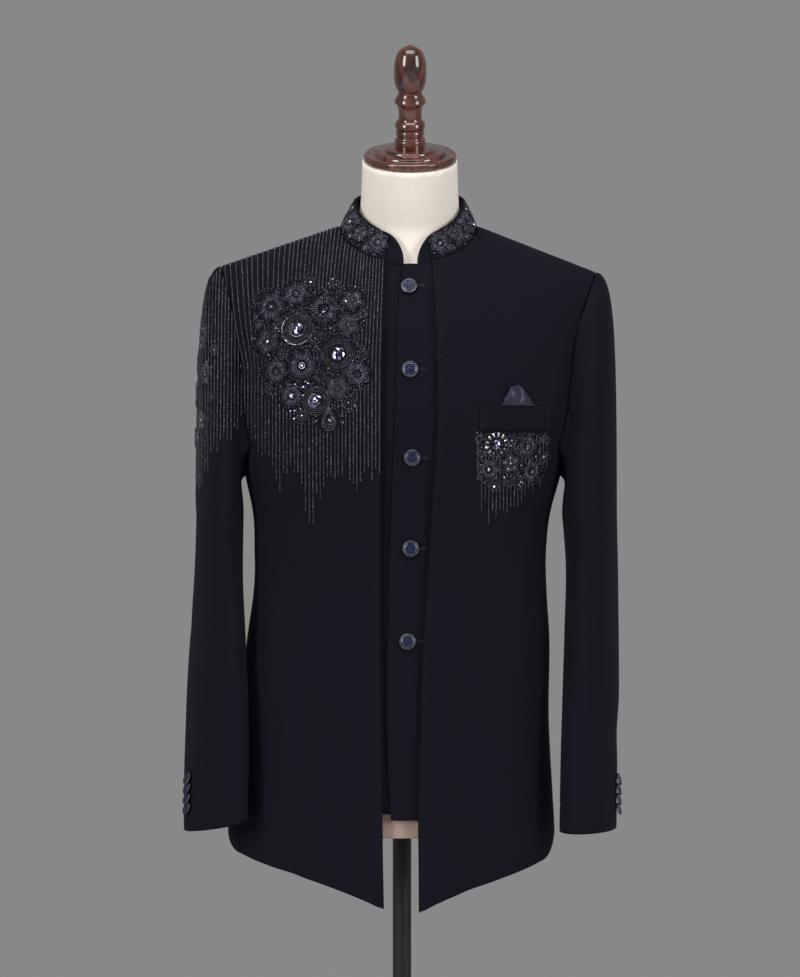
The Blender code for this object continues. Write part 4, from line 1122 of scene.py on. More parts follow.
def square_proud(u, v):
    """How far the folds stand off the front: three rolls that lean across the square."""
    roll = 0.5 + 0.5 * math.cos(math.tau * (1.15 * u + 0.30 * v - 0.42))
    swell = SQUARE_PROUD * math.sin(math.pi * v * 0.8) + 1.2
    pleat = 0.7 * bump((u - 0.55 - 0.25 * v) / 0.08) - 0.5 * bump((u - 0.25 + 0.1 * v) / 0.06)
    inward = min(1.0, 2.0 * math.sin(math.pi * u))
    return 2.0 + (swell * (0.35 + 0.65 * roll) + pleat) * inward


lifts = [[square_proud(c / SQUARE_ACROSS, r / SQUARE_UP) for c in range(SQUARE_ACROSS + 1)]
         for r in range(SQUARE_UP + 1)]
square = cloth_shell("pocket_square_satin", front_grid(SQUARE_ACROSS, SQUARE_UP, square_x, square_z),
                     SQUARE_THICKNESS, SATIN, lift=lifts)
declare_cloth("pocket_square")


# The buttons
# Round cast metal buttons with an engraved rim and a dark blue enamelled centre that carries a
# small flower of eight petals. Five close the inner front; four sit on each cuff, shingled.

# X, Z, height of the back above the cloth
FRONT_BUTTONS = [
    (7.9, 1380, 1.7),
    (8.9, 1284.3, 0.6),
    (11.4, 1184, 0.5),
    (9.8, 1082, 0.6),
    (6.3, 978, 0.6),
]
BUTTONS_FROM = 890.0        # no front button sits below this level
FRONT_BUTTON_RADIUS, CUFF_BUTTON_RADIUS = 9.3, 7.2
CUFF_BUTTON_PITCH, CUFF_BUTTON_SCALE = 11.0, 0.78
CUFF_BUTTON_TILT, CUFF_BUTTON_LIFT, CUFF_BUTTON_ANGLE = 15.0, 0.5, -22.0
CUFF_BUTTON_FIRST = {1: 783.0, -1: 786.0}
# Turned profile: share of the radius, height, depth of the rim's engraving, of the petals
BUTTON_RINGS = [
    (0.80, 0.0, 0.0, 0.0), (0.93, 0.35, 0.0, 0.0), (0.985, 0.9, 0.0, 0.0), (1.0, 1.4, 0.02, 0.0),
    (1.0, 1.9, 0.05, 0.0), (0.985, 2.35, 0.14, 0.0), (0.955, 2.7, 0.30, 0.0), (0.91, 2.88, 0.40, 0.0),
    (0.86, 2.82, 0.30, 0.0), (0.815, 2.62, 0.12, 0.0), (0.78, 2.45, 0.0, 0.0), (0.74, 2.45, 0.0, 0.0),
    (0.70, 2.78, 0.0, 0.0), (0.665, 2.84, 0.0, 0.0), (0.63, 2.55, 0.0, 0.05), (0.56, 2.5, 0.0, 0.20),
    (0.48, 2.58, 0.0, 0.30), (0.39, 2.66, 0.0, 0.34), (0.30, 2.74, 0.0, 0.26), (0.22, 2.84, 0.0, 0.10),
    (0.15, 3.0, 0.0, 0.0), (0.07, 3.08, 0.0, 0.0), (0.0, 3.1, 0.0, 0.0),
]
ENAMEL_FROM, ENAMEL_TO = 13, 22     # rings whose faces are enamelled
RIM_NOTCHES, PETALS, BUTTON_SEGMENTS = 24, 8, 96
BUTTON_SMOOTH, CUFF_BUTTONS = 50, 4

BUTTON_METAL, tree, shader = new_material("engraved_button_metal")
wear, _ = wear_over(tree, 160.0, 2600.0, 0.5)
hollows = node(tree, "ShaderNodeNewGeometry").outputs["Pointiness"]
dirt = spread(tree, hollows, 1.0, 0.0, 0.44, 0.52)
tone = mix_colour(tree, wear.outputs["Patches"], (0.050, 0.054, 0.072), (0.150, 0.158, 0.195))
coloured(tree, shader, mix_colour(tree, dirt, tone, (0.010, 0.012, 0.022)), wear, (0.24, 0.36))
set_sockets(shader, Metallic=0.95)

BUTTON_ENAMEL, tree, shader = new_material("button_enamel")
wear, _ = wear_over(tree, 300.0, 3000.0, 0.6)
tone = mix_colour(tree, wear.outputs["Patches"], (0.004, 0.006, 0.022), (0.012, 0.018, 0.058))
coloured(tree, shader, tone, wear, (0.26, 0.38))
set_sockets(shader, Specular_IOR_Level=0.3)


def seated(point, normal):
    """Frame at a point whose Z is the normal and whose Y leans upwards."""
    side = Vector((0, 0, 1)).cross(normal).normalized()
    rise = normal.cross(side)
    return Matrix.Translation(point) @ Matrix((side, rise, normal)).transposed().to_4x4()


def circle(radius, height, count, start=0.0):
    """Points of a level circle, its first turned by a share of the step between two."""
    turns = [math.tau * (i + start) / count for i in range(count)]
    return [(radius * math.cos(turn), radius * math.sin(turn), height) for turn in turns]


def ring_mesh(name, rings, place, looks, smooth_angle, look_of=None):
    """A piece from rings of points; a ring of one point closes an end, and both ends are closed."""
    shape = bmesh.new()
    loops = [[shape.verts.new(point) for point in ring] for ring in rings]
    count = max(len(loop) for loop in loops)
    if len(loops[0]) > 1:
        shape.faces.new(loops[0][::-1])
    for number, (lower, upper) in enumerate(zip(loops, loops[1:])):
        for i in range(count):
            n = (i + 1) % count
            above = (upper[0],) if len(upper) == 1 else (upper[n], upper[i])
            face = shape.faces.new((lower[i], lower[n], *above))
            face.material_index = look_of(number) if look_of else 0
    if len(loops[-1]) > 1:
        shape.faces.new(loops[-1])
    bmesh.ops.transform(shape, matrix=Matrix.Scale(MM, 4) @ place, verts=shape.verts)
    bmesh.ops.recalc_face_normals(shape, faces=shape.faces)
    mesh = bpy.data.meshes.new(name)
    shape.to_mesh(mesh)
    shape.free()
    for look in looks:
        mesh.materials.append(look)
    mesh.shade_smooth()
    mesh.set_sharp_from_angle(angle=math.radians(smooth_angle))
    return placed_piece(name, mesh)


def button_rings(radius, scale):
    """Rings of an engraved button: the notched rim, a groove, a bead and the flower."""
    rings = []
    for share, height, notch, petal in BUTTON_RINGS:
        ring = []
        for i in range(BUTTON_SEGMENTS if share else 1):
            angle = math.tau * i / BUTTON_SEGMENTS
            cut = notch * (0.5 - 0.5 * math.cos(RIM_NOTCHES * angle)) ** 2
            cut += petal * (1 - abs(math.cos(PETALS / 2 * angle))) ** 0.7
            reach = radius * share
            ring.append((reach * math.cos(angle), reach * math.sin(angle), (height - cut) * scale))
        rings.append(ring)
    return rings


def torso_at(x, z):
    """Turn and level of the front point at this X and Z."""
    low, high = BUTTONS_FROM, TOP_LEVEL
    for _ in range(BISECTIONS):
        level = (low + high) / 2
        turn = turn_at_x(lambda height: x, level)
        if torso(turn, level).z < z:
            low = level
        else:
            high = level
    return turn, level


def make_button(name, radius, scale, place):
    """One button at its place, standing for its plain solid."""
    piece = ring_mesh(name + "_cast", button_rings(radius, scale), place, [BUTTON_METAL, BUTTON_ENAMEL],
                      BUTTON_SMOOTH, lambda ring: int(ENAMEL_FROM <= ring < ENAMEL_TO))
    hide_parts(name)


for number, (x, z, lift) in enumerate(FRONT_BUTTONS):
    turn, level = torso_at(x, z)
    normal = torso_normal(turn, level)
    sink = INNER_SINK * ease((TOP_LEVEL - level) / SINK_TOP_FADE)
    centre = torso(turn, level) - normal * (CLOTH + INNER_CLEAR + sink - lift)
    make_button("front_button_%d" % (number + 1), FRONT_BUTTON_RADIUS, 1.0, seated(centre, normal))

for side, word in SIDES:
    for number in range(CUFF_BUTTONS):
        height = CUFF_BUTTON_FIRST[side] + CUFF_BUTTON_PITCH * number
        angle, tilt = CUFF_BUTTON_ANGLE, math.radians(CUFF_BUTTON_TILT)
        around = sleeve_ring(side, angle + 2, height) - sleeve_ring(side, angle - 2, height)
        upward = sleeve_ring(side, angle, height + 2) - sleeve_ring(side, angle, height - 2)
        normal = (upward.cross(around) * side).normalized()
        lift = CUFF_BUTTON_RADIUS * math.sin(tilt) + CUFF_BUTTON_LIFT
        place = seated(sleeve_ring(side, angle, height) + normal * lift, normal)
        make_button("cuff_button_%s_%d" % (word, number + 1), CUFF_BUTTON_RADIUS, CUFF_BUTTON_SCALE,
                    place @ Matrix.Rotation(-tilt, 4, "X"))


# The dress form
# A limbless padded torso and neck under tight cream linen, a little aged. The shoulders carry
# the jacket; elsewhere it stands clear. The neck leans forward slightly and is cut flat.

LINEN, tree, shader = new_material("cream_linen")
wear, place = wear_over(tree, 14.0, 420.0, 0.8)
blotches, _ = wear_over(tree, 45.0, 90.0, 0.6)
turned_place = node(tree, "ShaderNodeMapping", {"Rotation": (math.radians(90), 0, 0)})
tree.links.new(place, turned_place.inputs["Vector"])
weave = weave_over(tree, turned_place.outputs[0], 900.0, 0.0, 1.2)
yarn_colour = mix_colour(tree, weave.outputs["Thread tone"], (0.74, 0.67, 0.59), (0.84, 0.785, 0.715))
warm = touched(tree, wear, "Patches", 0.45, yarn_colour, (0.82, 0.73, 0.62))
aged = touched(tree, blotches, "Specks", 0.5, warm, (0.66, 0.52, 0.38))
spotted = touched(tree, wear, "Specks", 0.4, aged, (0.52, 0.43, 0.33))
# Painted shade: the linen is painted darker and browner towards its lower edge, where the jacket's hem
# shades it
apart = node(tree, "ShaderNodeSeparateXYZ")
tree.links.new(place, apart.inputs[0])
painted_shade_low = spread(tree, apart.outputs["Z"], 0.8, 0.0, 0.775, 0.84)     # darker at its lower edge
coloured(tree, shader, mix_colour(tree, painted_shade_low, spotted, (0.29, 0.175, 0.125)), wear, (0.80, 0.92))
bumped(tree, shader, weave.outputs["Height"], 0.3, 0.0003)
set_sockets(shader, Sheen_Weight=0.12, Sheen_Roughness=0.5, Specular_IOR_Level=0.3)

# The solid's mesh is welded, its triangles are joined and its sharp edges kept, then rounded
WELD_METRES = 0.00002
JOIN_FACE_ANGLE, JOIN_SHAPE_ANGLE, SHARP_FROM, SHARPNESS = 40, 60, 52, 0.9
shape = bmesh.new()
shape.from_mesh(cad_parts["form_torso"].data)
bmesh.ops.remove_doubles(shape, verts=shape.verts, dist=WELD_METRES)
bmesh.ops.join_triangles(shape, faces=shape.faces, angle_face_threshold=math.radians(JOIN_FACE_ANGLE),
                         angle_shape_threshold=math.radians(JOIN_SHAPE_ANGLE))
creases = shape.edges.layers.float.new("crease_edge")
for edge in shape.edges:
    if len(edge.link_faces) == 2 and edge.calc_face_angle() > math.radians(SHARP_FROM):
        edge[creases] = SHARPNESS
mesh = bpy.data.meshes.new("form_torso_linen")
shape.to_mesh(mesh)
shape.free()
mesh.materials.append(LINEN)
mesh.shade_smooth()
form = placed_piece("form_torso_linen", mesh)
rounding = form.modifiers.new("rounding", "SUBSURF")
rounding.levels = rounding.render_levels = 2
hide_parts("form_torso")


# The turned cap and finial
# A stepped cap plate and a turned finial of dark red hardwood under thick gloss lacquer. The
# finial screws into the plate; both sit on the neck's flat top and follow its lean.

CAP_SEAT, CAP_LEAN = Vector((9.3, -22.0, 1528.0)), 22.0
CAP_PROFILE = [
    (51.5, 0.0), (53.2, 1.4), (53.6, 4.2), (53.2, 7.2), (51.6, 8.6),
    (42.5, 8.8), (41.8, 11.2), (40.0, 12.2), (30.5, 12.4), (29.6, 14.6), (27.5, 15.4), (0.0, 15.6),
]
FINIAL_PROFILE = [
    (17.3, 0.0), (17.8, 5.0), (17.8, 9.0), (15.9, 12.5), (16.7, 17.5), (16.1, 21.0),
    (17.5, 25.0), (16.5, 29.5), (13.5, 33.5), (13.6, 43.5), (15.4, 49.0), (18.2, 54.0),
    (13.8, 63.0), (15.5, 68.0), (18.3, 76.5), (18.8, 90.0), (17.6, 101.5), (12.4, 113.0),
    (0.0, 119.5),
]

ROSEWOOD, tree, shader = new_material("lacquered_rosewood")
wear, place = wear_over(tree, 40.0, 1600.0, 0.4)
stretch = node(tree, "ShaderNodeMapping", {"Rotation": (math.radians(-CAP_LEAN), 0.2, 0),
                                           "Scale": (60.0, 60.0, 9.0)})
tree.links.new(place, stretch.inputs["Vector"])
figure = node(tree, "ShaderNodeTexNoise", {"Scale": 1.0, "Detail": 5.0, "Distortion": 1.4})
tree.links.new(stretch.outputs[0], figure.inputs["Vector"])
pores = node(tree, "ShaderNodeTexNoise", {"Scale": 9.0, "Detail": 2.0})
tree.links.new(stretch.outputs[0], pores.inputs["Vector"])
grain = mix_colour(tree, spread(tree, figure.outputs[0], 0.0, 1.0, 0.36, 0.64), (0.022, 0.0055, 0.0045),
                   (0.135, 0.036, 0.020))
pored = mix_colour(tree, spread(tree, pores.outputs[0], 0.0, 0.8, 0.58, 0.70), grain,
                   (0.008, 0.002, 0.0018))
coloured(tree, shader, pored, wear, (0.14, 0.26))
bumped(tree, shader, pores.outputs[0], 0.05, 0.0004)
set_sockets(shader, Coat_Weight=0.8, Coat_Roughness=0.06)


def turned_rings(profile, segments, fine=0.0):
    """Rings of a turned shape; where fine is set, the profile is rounded through its points."""
    if fine:
        rows = [(n, radius, height) for n, (radius, height) in enumerate(profile)]
        steps = [n * fine for n in range(int((len(profile) - 1) / fine))] + [len(profile) - 1]
        profile = [(max(smooth_rows(rows, n, 1), 0.0), smooth_rows(rows, n, 2)) for n in steps]
    return [circle(radius, height, segments if radius > 0 else 1) for radius, height in profile]


lean = Matrix.Translation(CAP_SEAT) @ Matrix.Rotation(math.radians(CAP_LEAN), 4, "X")
cap = ring_mesh("neck_cap_turned", turned_rings(CAP_PROFILE, 96), lean, [ROSEWOOD], 32)
soft_edges = cap.modifiers.new("soft_edges", "BEVEL")
soft_edges.width, soft_edges.segments, soft_edges.limit_method = 0.0005, 2, "ANGLE"
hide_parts("neck_cap")
finial_seat = lean @ Matrix.Translation((0, 0, CAP_PROFILE[-1][1] + SEAM_GAP))
finial = ring_mesh("finial_turned", turned_rings(FINIAL_PROFILE, 64, 0.2), finial_seat, [ROSEWOOD],
                   60)
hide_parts("finial")


# The pole, its socket and the round foot
# A black lacquered steel tube stands in a turned socket on a round weighted plate, all with
# a half-gloss powder coat. The tube carries the form at its flat underside.

BASE_THICKNESS = 9.0
BASE_PROFILE = [(183.6, 0.0), (185.0, 1.4), (185.0, 7.0), (184.4, 8.0), (181.0, BASE_THICKNESS),
                (0.0, BASE_THICKNESS)]

BLACK_METAL, tree, shader = new_material("black_powder_coat")
wear, place = wear_over(tree, 12.0, 700.0, 0.5)
coat = mix_colour(tree, wear.outputs["Patches"], (0.010, 0.010, 0.012), (0.018, 0.018, 0.020))
dusted = touched(tree, wear, "Specks", 0.4, coat, (0.09, 0.09, 0.09))
coloured(tree, shader, dusted, wear, (0.32, 0.44))
orange_peel = node(tree, "ShaderNodeTexNoise", {"Scale": 900.0, "Detail": 1.0})
tree.links.new(place, orange_peel.inputs["Vector"])
bumped(tree, shader, orange_peel.outputs[0], 0.08, 0.0003)
set_sockets(shader, Metallic=0.35)

base = ring_mesh("base_plate_turned", turned_rings(BASE_PROFILE, 128), Matrix.Identity(4), [BLACK_METAL],
                 50)
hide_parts("base_plate")
for name in ("pole", "pole_socket"):
    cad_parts[name].material_slots[0].material = BLACK_METAL


# The set stones
# Round foiled glass stones with three rows of facets up to a slightly dipped table, sewn on
# through a thin claw cup: three in the chest beadwork and one under the pocket.

# X, Z, radius
STONES = {
    "stone_chest_upper": (-118.0, 1330.0, 7.5),
    "stone_chest_middle": (-72.0, 1301.0, 8.0),
    "stone_chest_lower": (-96.0, 1248.0, 7.0),
    "stone_pocket": (106.0, 1199.0, 5.5),
}
# Share of the radius, share of the radius up, points round, turn of the first in steps
STONE_RINGS = [(0.97, 0.0, 12, 0.0), (1.0, 0.10, 12, 0.0), (0.99, 0.19, 12, 0.0), (0.78, 0.33, 12, 0.5),
               (0.52, 0.40, 12, 0.0), (0.28, 0.44, 12, 0.5), (0.0, 0.405, 1, 0.0)]

STONE_GLASS, tree, shader = new_material("foiled_stone")
facet = node(tree, "ShaderNodeNewGeometry").outputs["Normal"]
hue = node(tree, "ShaderNodeTexNoise", {"Scale": 7.3, "Detail": 1.0})
tree.links.new(facet, hue.inputs["Vector"])
wear, _ = wear_over(tree, 120.0, 2600.0, 0.3)
cool = mix_colour(tree, spread(tree, hue.outputs[0], 0.0, 1.0, 0.50, 0.62), (0.008, 0.010, 0.034),
                  (0.26, 0.27, 0.46))
rosy = mix_colour(tree, spread(tree, hue.outputs[0], 0.0, 0.9, 0.62, 0.68), cool, (0.62, 0.44, 0.52))
tree.links.new(rosy, shader.inputs["Base Color"])
tree.links.new(spread(tree, wear.outputs["Specks"], 0.05, 0.3), shader.inputs["Roughness"])
set_sockets(shader, Metallic=0.85, Coat_Weight=0.6, Coat_Roughness=0.03)


STONE_LIFT, STONE_SMOOTH = 0.3, 4
for name, (x, z, radius) in STONES.items():
    point, normal = seen_from_front(LEFT_FRONT if x > 0 else RIGHT_FRONT, x, z, STONE_LIFT)
    rings = [circle(radius * share, radius * rise, count, start)
             for share, rise, count, start in STONE_RINGS]
    piece = ring_mesh(name + "_cut", rings, seated(point, normal), [STONE_GLASS], STONE_SMOOTH)
    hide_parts(name)


# The beadwork
# Hand embroidery on the wearer's right front and sleeve, round the collar and under the
# pocket: close rows of seed beads that run down in strings of uneven length, with flowers and
# rings of bugle beads and crystals sewn over them. Its layout is a general one of its kind.

RANDOM = np.random.default_rng(41)
BEAD_STEP, BEAD_RADIUS, BEAD_LENGTH = 2.15, 0.68, 1.75
BEAD_SWAY, BEAD_TWIST, BEAD_SEAT = 0.10, 0.05, 0.8
ROW_PITCH = 4.15
STRING_DROP = 4.0   # step of a string's path down the cloth
END_STRAY = 13      # a string ends this much above or below its neighbours at most
GROUND = 2.5        # the filled ground reaches this far round the flowers


def bead_material(name, dark, light, rough, metal, coat):
    """Glass beads: each has its own tone from the beads' own attribute, which also carries painted glints
    and painted shade, and a bloom of dust.
    """
    made, tree, shader = new_material(name)
    tone = node(tree, "ShaderNodeAttribute", attribute_name="bead_tone").outputs["Fac"]
    wear, _ = wear_over(tree, 30.0, 2400.0, 0.3)
    shaded = mix_colour(tree, math_node(tree, "POWER", tone, 2.0), dark, light)
    bloom = tuple(min(1.0, value * 0.4 + 0.01) for value in light)
    coloured(tree, shader, touched(tree, wear, "Patches", 0.25, shaded, bloom), wear, rough)
    set_sockets(shader, Metallic=metal, Coat_Weight=coat, Coat_Roughness=0.08)
    return made


SEED_GLASS = bead_material("seed_bead_glass", (0.020, 0.021, 0.028), (0.20, 0.205, 0.24), (0.22, 0.36),
                           0.5, 0.2)
BUGLE_GLASS = bead_material("bugle_bead_glass", (0.006, 0.006, 0.014), (0.055, 0.053, 0.105), (0.16, 0.28),
                            0.5, 0.35)
CRYSTAL = bead_material("cut_crystal", (0.020, 0.022, 0.044), (0.85, 0.88, 0.98), (0.05, 0.12), 0.9, 0.15)
# Template of a barrel bead: place along it, share of the radius
BARREL = [(-0.5, 0.0), (-0.34, 1.0), (0.34, 1.0), (0.5, 0.0)]
BARREL_SIDES, GEM_SIDES = 6, 8
GEM_RINGS = ((0.96, 0.0), (1.0, 0.2), (0.55, 0.62))     # share of the radius, height


def barrel_template():
    """Corners and faces of a barrel bead about its own X axis."""
    corners, loops = [], []
    for along, share in BARREL:
        ring = [(along, y, z) for y, z, _ in circle(share, 0.0, BARREL_SIDES if share else 1)]
        loops.append(range(len(corners), len(corners) + len(ring)))
        corners += ring
    faces = []
    for i in range(BARREL_SIDES):
        n = (i + 1) % BARREL_SIDES
        faces += [(loops[0][0], loops[1][n], loops[1][i]), (loops[3][0], loops[2][i], loops[2][n])]
        faces.append((loops[1][i], loops[1][n], loops[2][n], loops[2][i]))
    return np.array(corners), faces


def gem_template():
    """Corners and faces of a flat-backed crystal on its own Z axis."""
    corners = [corner for share, rise in GEM_RINGS for corner in circle(share, rise, GEM_SIDES, 0.5 * rise)]
    faces = [tuple(range(2 * GEM_SIDES, 3 * GEM_SIDES)), tuple(range(GEM_SIDES - 1, -1, -1))]
    for ring in (0, GEM_SIDES):
        for i in range(GEM_SIDES):
            n = (i + 1) % GEM_SIDES
            faces.append((ring + i, ring + n, ring + GEM_SIDES + n, ring + GEM_SIDES + i))
    return np.array(corners), faces


def sew_on(name, beads, template, look, smooth):
    """Join many beads into one piece. A bead: middle, direction, normal, three sizes, tone."""
    corners, faces = template
    middles, directions, normals, sizes, tones = (np.array(column, float) for column in zip(*beads))
    directions /= np.linalg.norm(directions, axis=1, keepdims=True)
    sides = np.cross(normals, directions)
    sides /= np.linalg.norm(sides, axis=1, keepdims=True)
    normals = np.cross(directions, sides)
    places = middles[:, None, :] + (corners[None, :, 0:1] * sizes[:, None, 0:1] * directions[:, None, :]
                                    + corners[None, :, 1:2] * sizes[:, None, 1:2] * sides[:, None, :]
                                    + corners[None, :, 2:3] * sizes[:, None, 2:3] * normals[:, None, :])
    count = len(corners)
    mesh = bpy.data.meshes.new(name)
    mesh.from_pydata((places.reshape(-1, 3) * MM).tolist(), [],
                     [tuple(i + count * n for i in face) for n in range(len(beads)) for face in faces])
    tone = mesh.attributes.new("bead_tone", "FLOAT", "POINT")
    tone.data.foreach_set("value", np.repeat(tones, count))
    mesh.materials.append(look)
    if smooth:
        mesh.shade_smooth()
    placed_piece(name, mesh)


seeds, bugles, crystals = {}, {}, {}


def add(store, area, middle, direction, normal, sizes, tone):
    """Keep a bead for its area's piece."""
    store.setdefault(area, []).append((tuple(middle), tuple(direction), tuple(normal), sizes, tone))


def tone_with_painted_glint(low=0.1, high=0.75, rare=0.04):
    """A bead's tone: mostly a low one that differs at random, now and then a full one as a painted glint.
    """
    return 1.0 if RANDOM.random() < rare else low + (high - low) * RANDOM.random()


def string_beads(area, path, keep=None, painted_shade_factor=1.0):
    """Thread seed beads along a path of (point, normal) pairs, at an even step, their tones scaled by a
    painted shade factor.
    """
    points = np.array([tuple(point) for point, _ in path])
    along = np.concatenate([[0], np.cumsum(np.linalg.norm(np.diff(points, axis=0), axis=1))])
    for distance in np.arange(BEAD_STEP / 2, along[-1], BEAD_STEP):
        i = min(max(int(np.searchsorted(along, distance)), 1), len(path) - 1)
        t = (distance - along[i - 1]) / max(along[i] - along[i - 1], 1e-6)
        middle = path[i - 1][0].lerp(path[i][0], t)
        normal = path[i - 1][1].lerp(path[i][1], t).normalized()
        if keep and not keep(middle):
            continue
        sway = Vector(RANDOM.normal(0, BEAD_SWAY, 3))
        direction = path[i][0] - path[i - 1][0] + Vector(RANDOM.normal(0, BEAD_TWIST, 3))
        add(seeds, area, middle + normal * BEAD_RADIUS * BEAD_SEAT + sway, direction, normal,
            (BEAD_LENGTH, BEAD_RADIUS, BEAD_RADIUS), tone_with_painted_glint() * painted_shade_factor)


# Strings of beads hang from the shoulder to uneven ends. X, height of the ends there
CHEST_ENDS = [(-186, 1222), (-172, 1206), (-160, 1190), (-146, 1166), (-136, 1150), (-126, 1186),
              (-114, 1150), (-104, 1112), (-94, 1140), (-84, 1168), (-72, 1148), (-62, 1170),
              (-52, 1150), (-40, 1172), (-24, 1158)]
# Angle round the sleeve, height of the ends there
SLEEVE_ENDS = [(-62, 1150), (-45, 1128), (-25, 1140), (-8, 1106), (10, 1122), (30, 1142), (48, 1160),
               (64, 1148), (82, 1184), (100, 1196), (122, 1222)]
# Flowers and rings of the chest: kind, X, Z, radius
CHEST_MOTIFS = [
    ("ring", -118, 1330, 19), ("ring", -72, 1301, 21), ("ring", -96, 1248, 17),
    ("daisy", -148, 1356, 19), ("daisy", -88, 1352, 20), ("daisy", -120, 1370, 15),
    ("bloom", -152, 1316, 16), ("bloom", -60, 1334, 14), ("daisy", -112, 1288, 19),
    ("daisy", -142, 1282, 15), ("bloom", -56, 1362, 13), ("daisy", -50, 1278, 15),
    ("bloom", -72, 1262, 15), ("daisy", -124, 1254, 14), ("circle", -140, 1336, 6),
    ("circle", -98, 1319, 7), ("circle", -92, 1276, 6), ("circle", -134, 1302, 6),
    ("circle", -60, 1246, 7), ("circle", -112, 1232, 6), ("circle", -44, 1300, 6),
    ("circle", -44, 1346, 5), ("circle", -104, 1384, 6), ("circle", -162, 1336, 5),
    ("circle", -150, 1262, 5), ("drop", -82, 1228, 13), ("circle", -74, 1380, 5),
]
# Those of the sleeve: kind, angle round it, height, radius
SLEEVE_MOTIFS = [
    ("daisy", 22, 1318, 17), ("bloom", -10, 1296, 15), ("daisy", 38, 1282, 14), ("daisy", -2, 1256, 16),
    ("bloom", 30, 1236, 13), ("circle", 8, 1346, 6), ("circle", 52, 1312, 5), ("circle", 12, 1212, 6),
    ("circle", -28, 1270, 6), ("circle", -18, 1330, 5), ("circle", 52, 1258, 5), ("daisy", -8, 1214, 12),
]


def stripe_end(rows, key):
    """Height where a string ends, a little longer or shorter than its neighbours."""
    low = max(n for n in range(len(rows) - 1) if n == 0 or rows[n][0] <= key)
    t = min(max((key - rows[low][0]) / (rows[low + 1][0] - rows[low][0]), 0), 1)
    return rows[low][1] + (rows[low + 1][1] - rows[low][1]) * t + RANDOM.uniform(-END_STRAY, END_STRAY)


def clear_of_motifs(middle):
    """Whether a bead of a string lies outside the flowers sewn over it."""
    return all((middle.x - x) ** 2 + (middle.z - z) ** 2 > (radius + GROUND) ** 2
               for _, x, z, radius in CHEST_MOTIFS)


# Where a string starts at the shoulder seam: X on the chest, X at the seam
STRING_TOPS = [(-188, -214), (-162, -173), (-136, -131), (-110, -99), (-60, -48), (-24, -19)]
ROLL_AXIS = Vector((0.0, 2.0, CHEST_TOP))


def chest_string(x):
    """Path of a string: over the shoulder from the seam, then straight down to its end."""
    path = []
    top_x = np.interp(x, *zip(*STRING_TOPS))
    for tilt in np.arange(90.0, 1.0, -1.2):
        bearing = Vector((0, -math.cos(math.radians(tilt)), math.sin(math.radians(tilt))))
        aim = ROLL_AXIS + Vector((x + (top_x - x) * tilt / 90, 0, 0))
        point, normal, _, _ = RIGHT_FRONT.ray_cast(aim + bearing * 400, -bearing, 395)
        if point is not None and normal.dot(bearing) > 0:
            path.append((point, normal))
    end = stripe_end(CHEST_ENDS, x)
    for z in np.arange(CHEST_TOP - 3, end, -STRING_DROP):
        point, normal = seen_from_front(RIGHT_FRONT, x, z)
        if point is None:
            break
        path.append((point, normal))
    return path


for x in np.arange(-25.5, -186.0, -ROW_PITCH):
    path = chest_string(x + RANDOM.uniform(-0.3, 0.3))
    string_beads("chest", path, keep=clear_of_motifs)

BEADED_SLEEVE = tree_of(sleeve_cloth["upper", -1], sleeve_cloth["under", -1])
# The sleeve's strings hang straight down its front and its outer side: first and last place of
# a string across, and how far its cloth must face that way
SLEEVE_FRONT, FRONT_FACING = (-236.0, -183.0), 0.42
# The outer side's strings are painted darker by this factor, as painted shade of the side that faces away
# from the lamps
SLEEVE_SIDE, SIDE_FACING, SIDE_PAINTED_SHADE_FACTOR = (-52.0, 64.0), 0.88, 0.45
SLEEVE_TOP, SLEEVE_X, STRAY = 1424.0, -211.5, 3


def sleeve_string(start, bearing, facing, angle):
    """Path of a string: straight down the sleeve from the armhole seam to its end."""
    path, missed = [], 0
    for z in np.arange(SLEEVE_TOP, stripe_end(SLEEVE_ENDS, angle), -STRING_DROP):
        point, normal, _, _ = BEADED_SLEEVE.ray_cast(start + Vector((0, 0, z)), bearing)
        if point is not None and -normal.dot(bearing) > facing:
            path.append((point, normal))
            missed = 0
        elif path:
            missed += 1
            if missed > STRAY:
                break
    return path


for x in np.arange(*SLEEVE_FRONT, ROW_PITCH * 0.9):
    angle = 90 + (x - SLEEVE_X) * 1.2
    path = sleeve_string(Vector((x, -400, 0)), Vector((0, 1, 0)), FRONT_FACING, angle)
    if len(path) > 4:
        string_beads("sleeve", path)
# Painted shade: the strings down the outer side get darker tones
for y in np.arange(*SLEEVE_SIDE, ROW_PITCH):
    path = sleeve_string(Vector((-400, y, 0)), Vector((1, 0, 0)), SIDE_FACING, 40 - y)
    if len(path) > 4:
        string_beads("sleeve", path, painted_shade_factor=SIDE_PAINTED_SHADE_FACTOR)


def chart_at(tree, centre, normal):
    """A flat chart round a centre: gives the cloth's point and normal at (across, up)."""
    across = Vector((0, 0, 1)).cross(normal).normalized()
    up = normal.cross(across)

    def chart(dx, dy):
        start = centre + across * dx + up * dy + normal * 30
        place, hit, _, _ = tree.ray_cast(start, -normal, 60)
        if place is None:
            return centre + across * dx + up * dy, normal
        return place, hit
    return chart


def front_chart(tree, x, z):
    """The chart round a point of an outer front."""
    return chart_at(tree, *seen_from_front(tree, x, z))


def on_circle(radius, turn):
    """Across and up of a point on a circle."""
    return radius * math.cos(turn), radius * math.sin(turn)


def rotated(along, aside, turn):
    """Across and up of a point that lies along a turned direction and aside of it."""
    return (along * math.cos(turn) - aside * math.sin(turn),
            along * math.sin(turn) + aside * math.cos(turn))


def bead(length, radius):
    """Sizes of a seed or bugle bead."""
    return length, radius, radius


def gem(radius, height):
    """Sizes of a round crystal."""
    return radius, radius, height


LOOK_AHEAD = 0.6    # a bead's direction on the cloth is read this far ahead of it


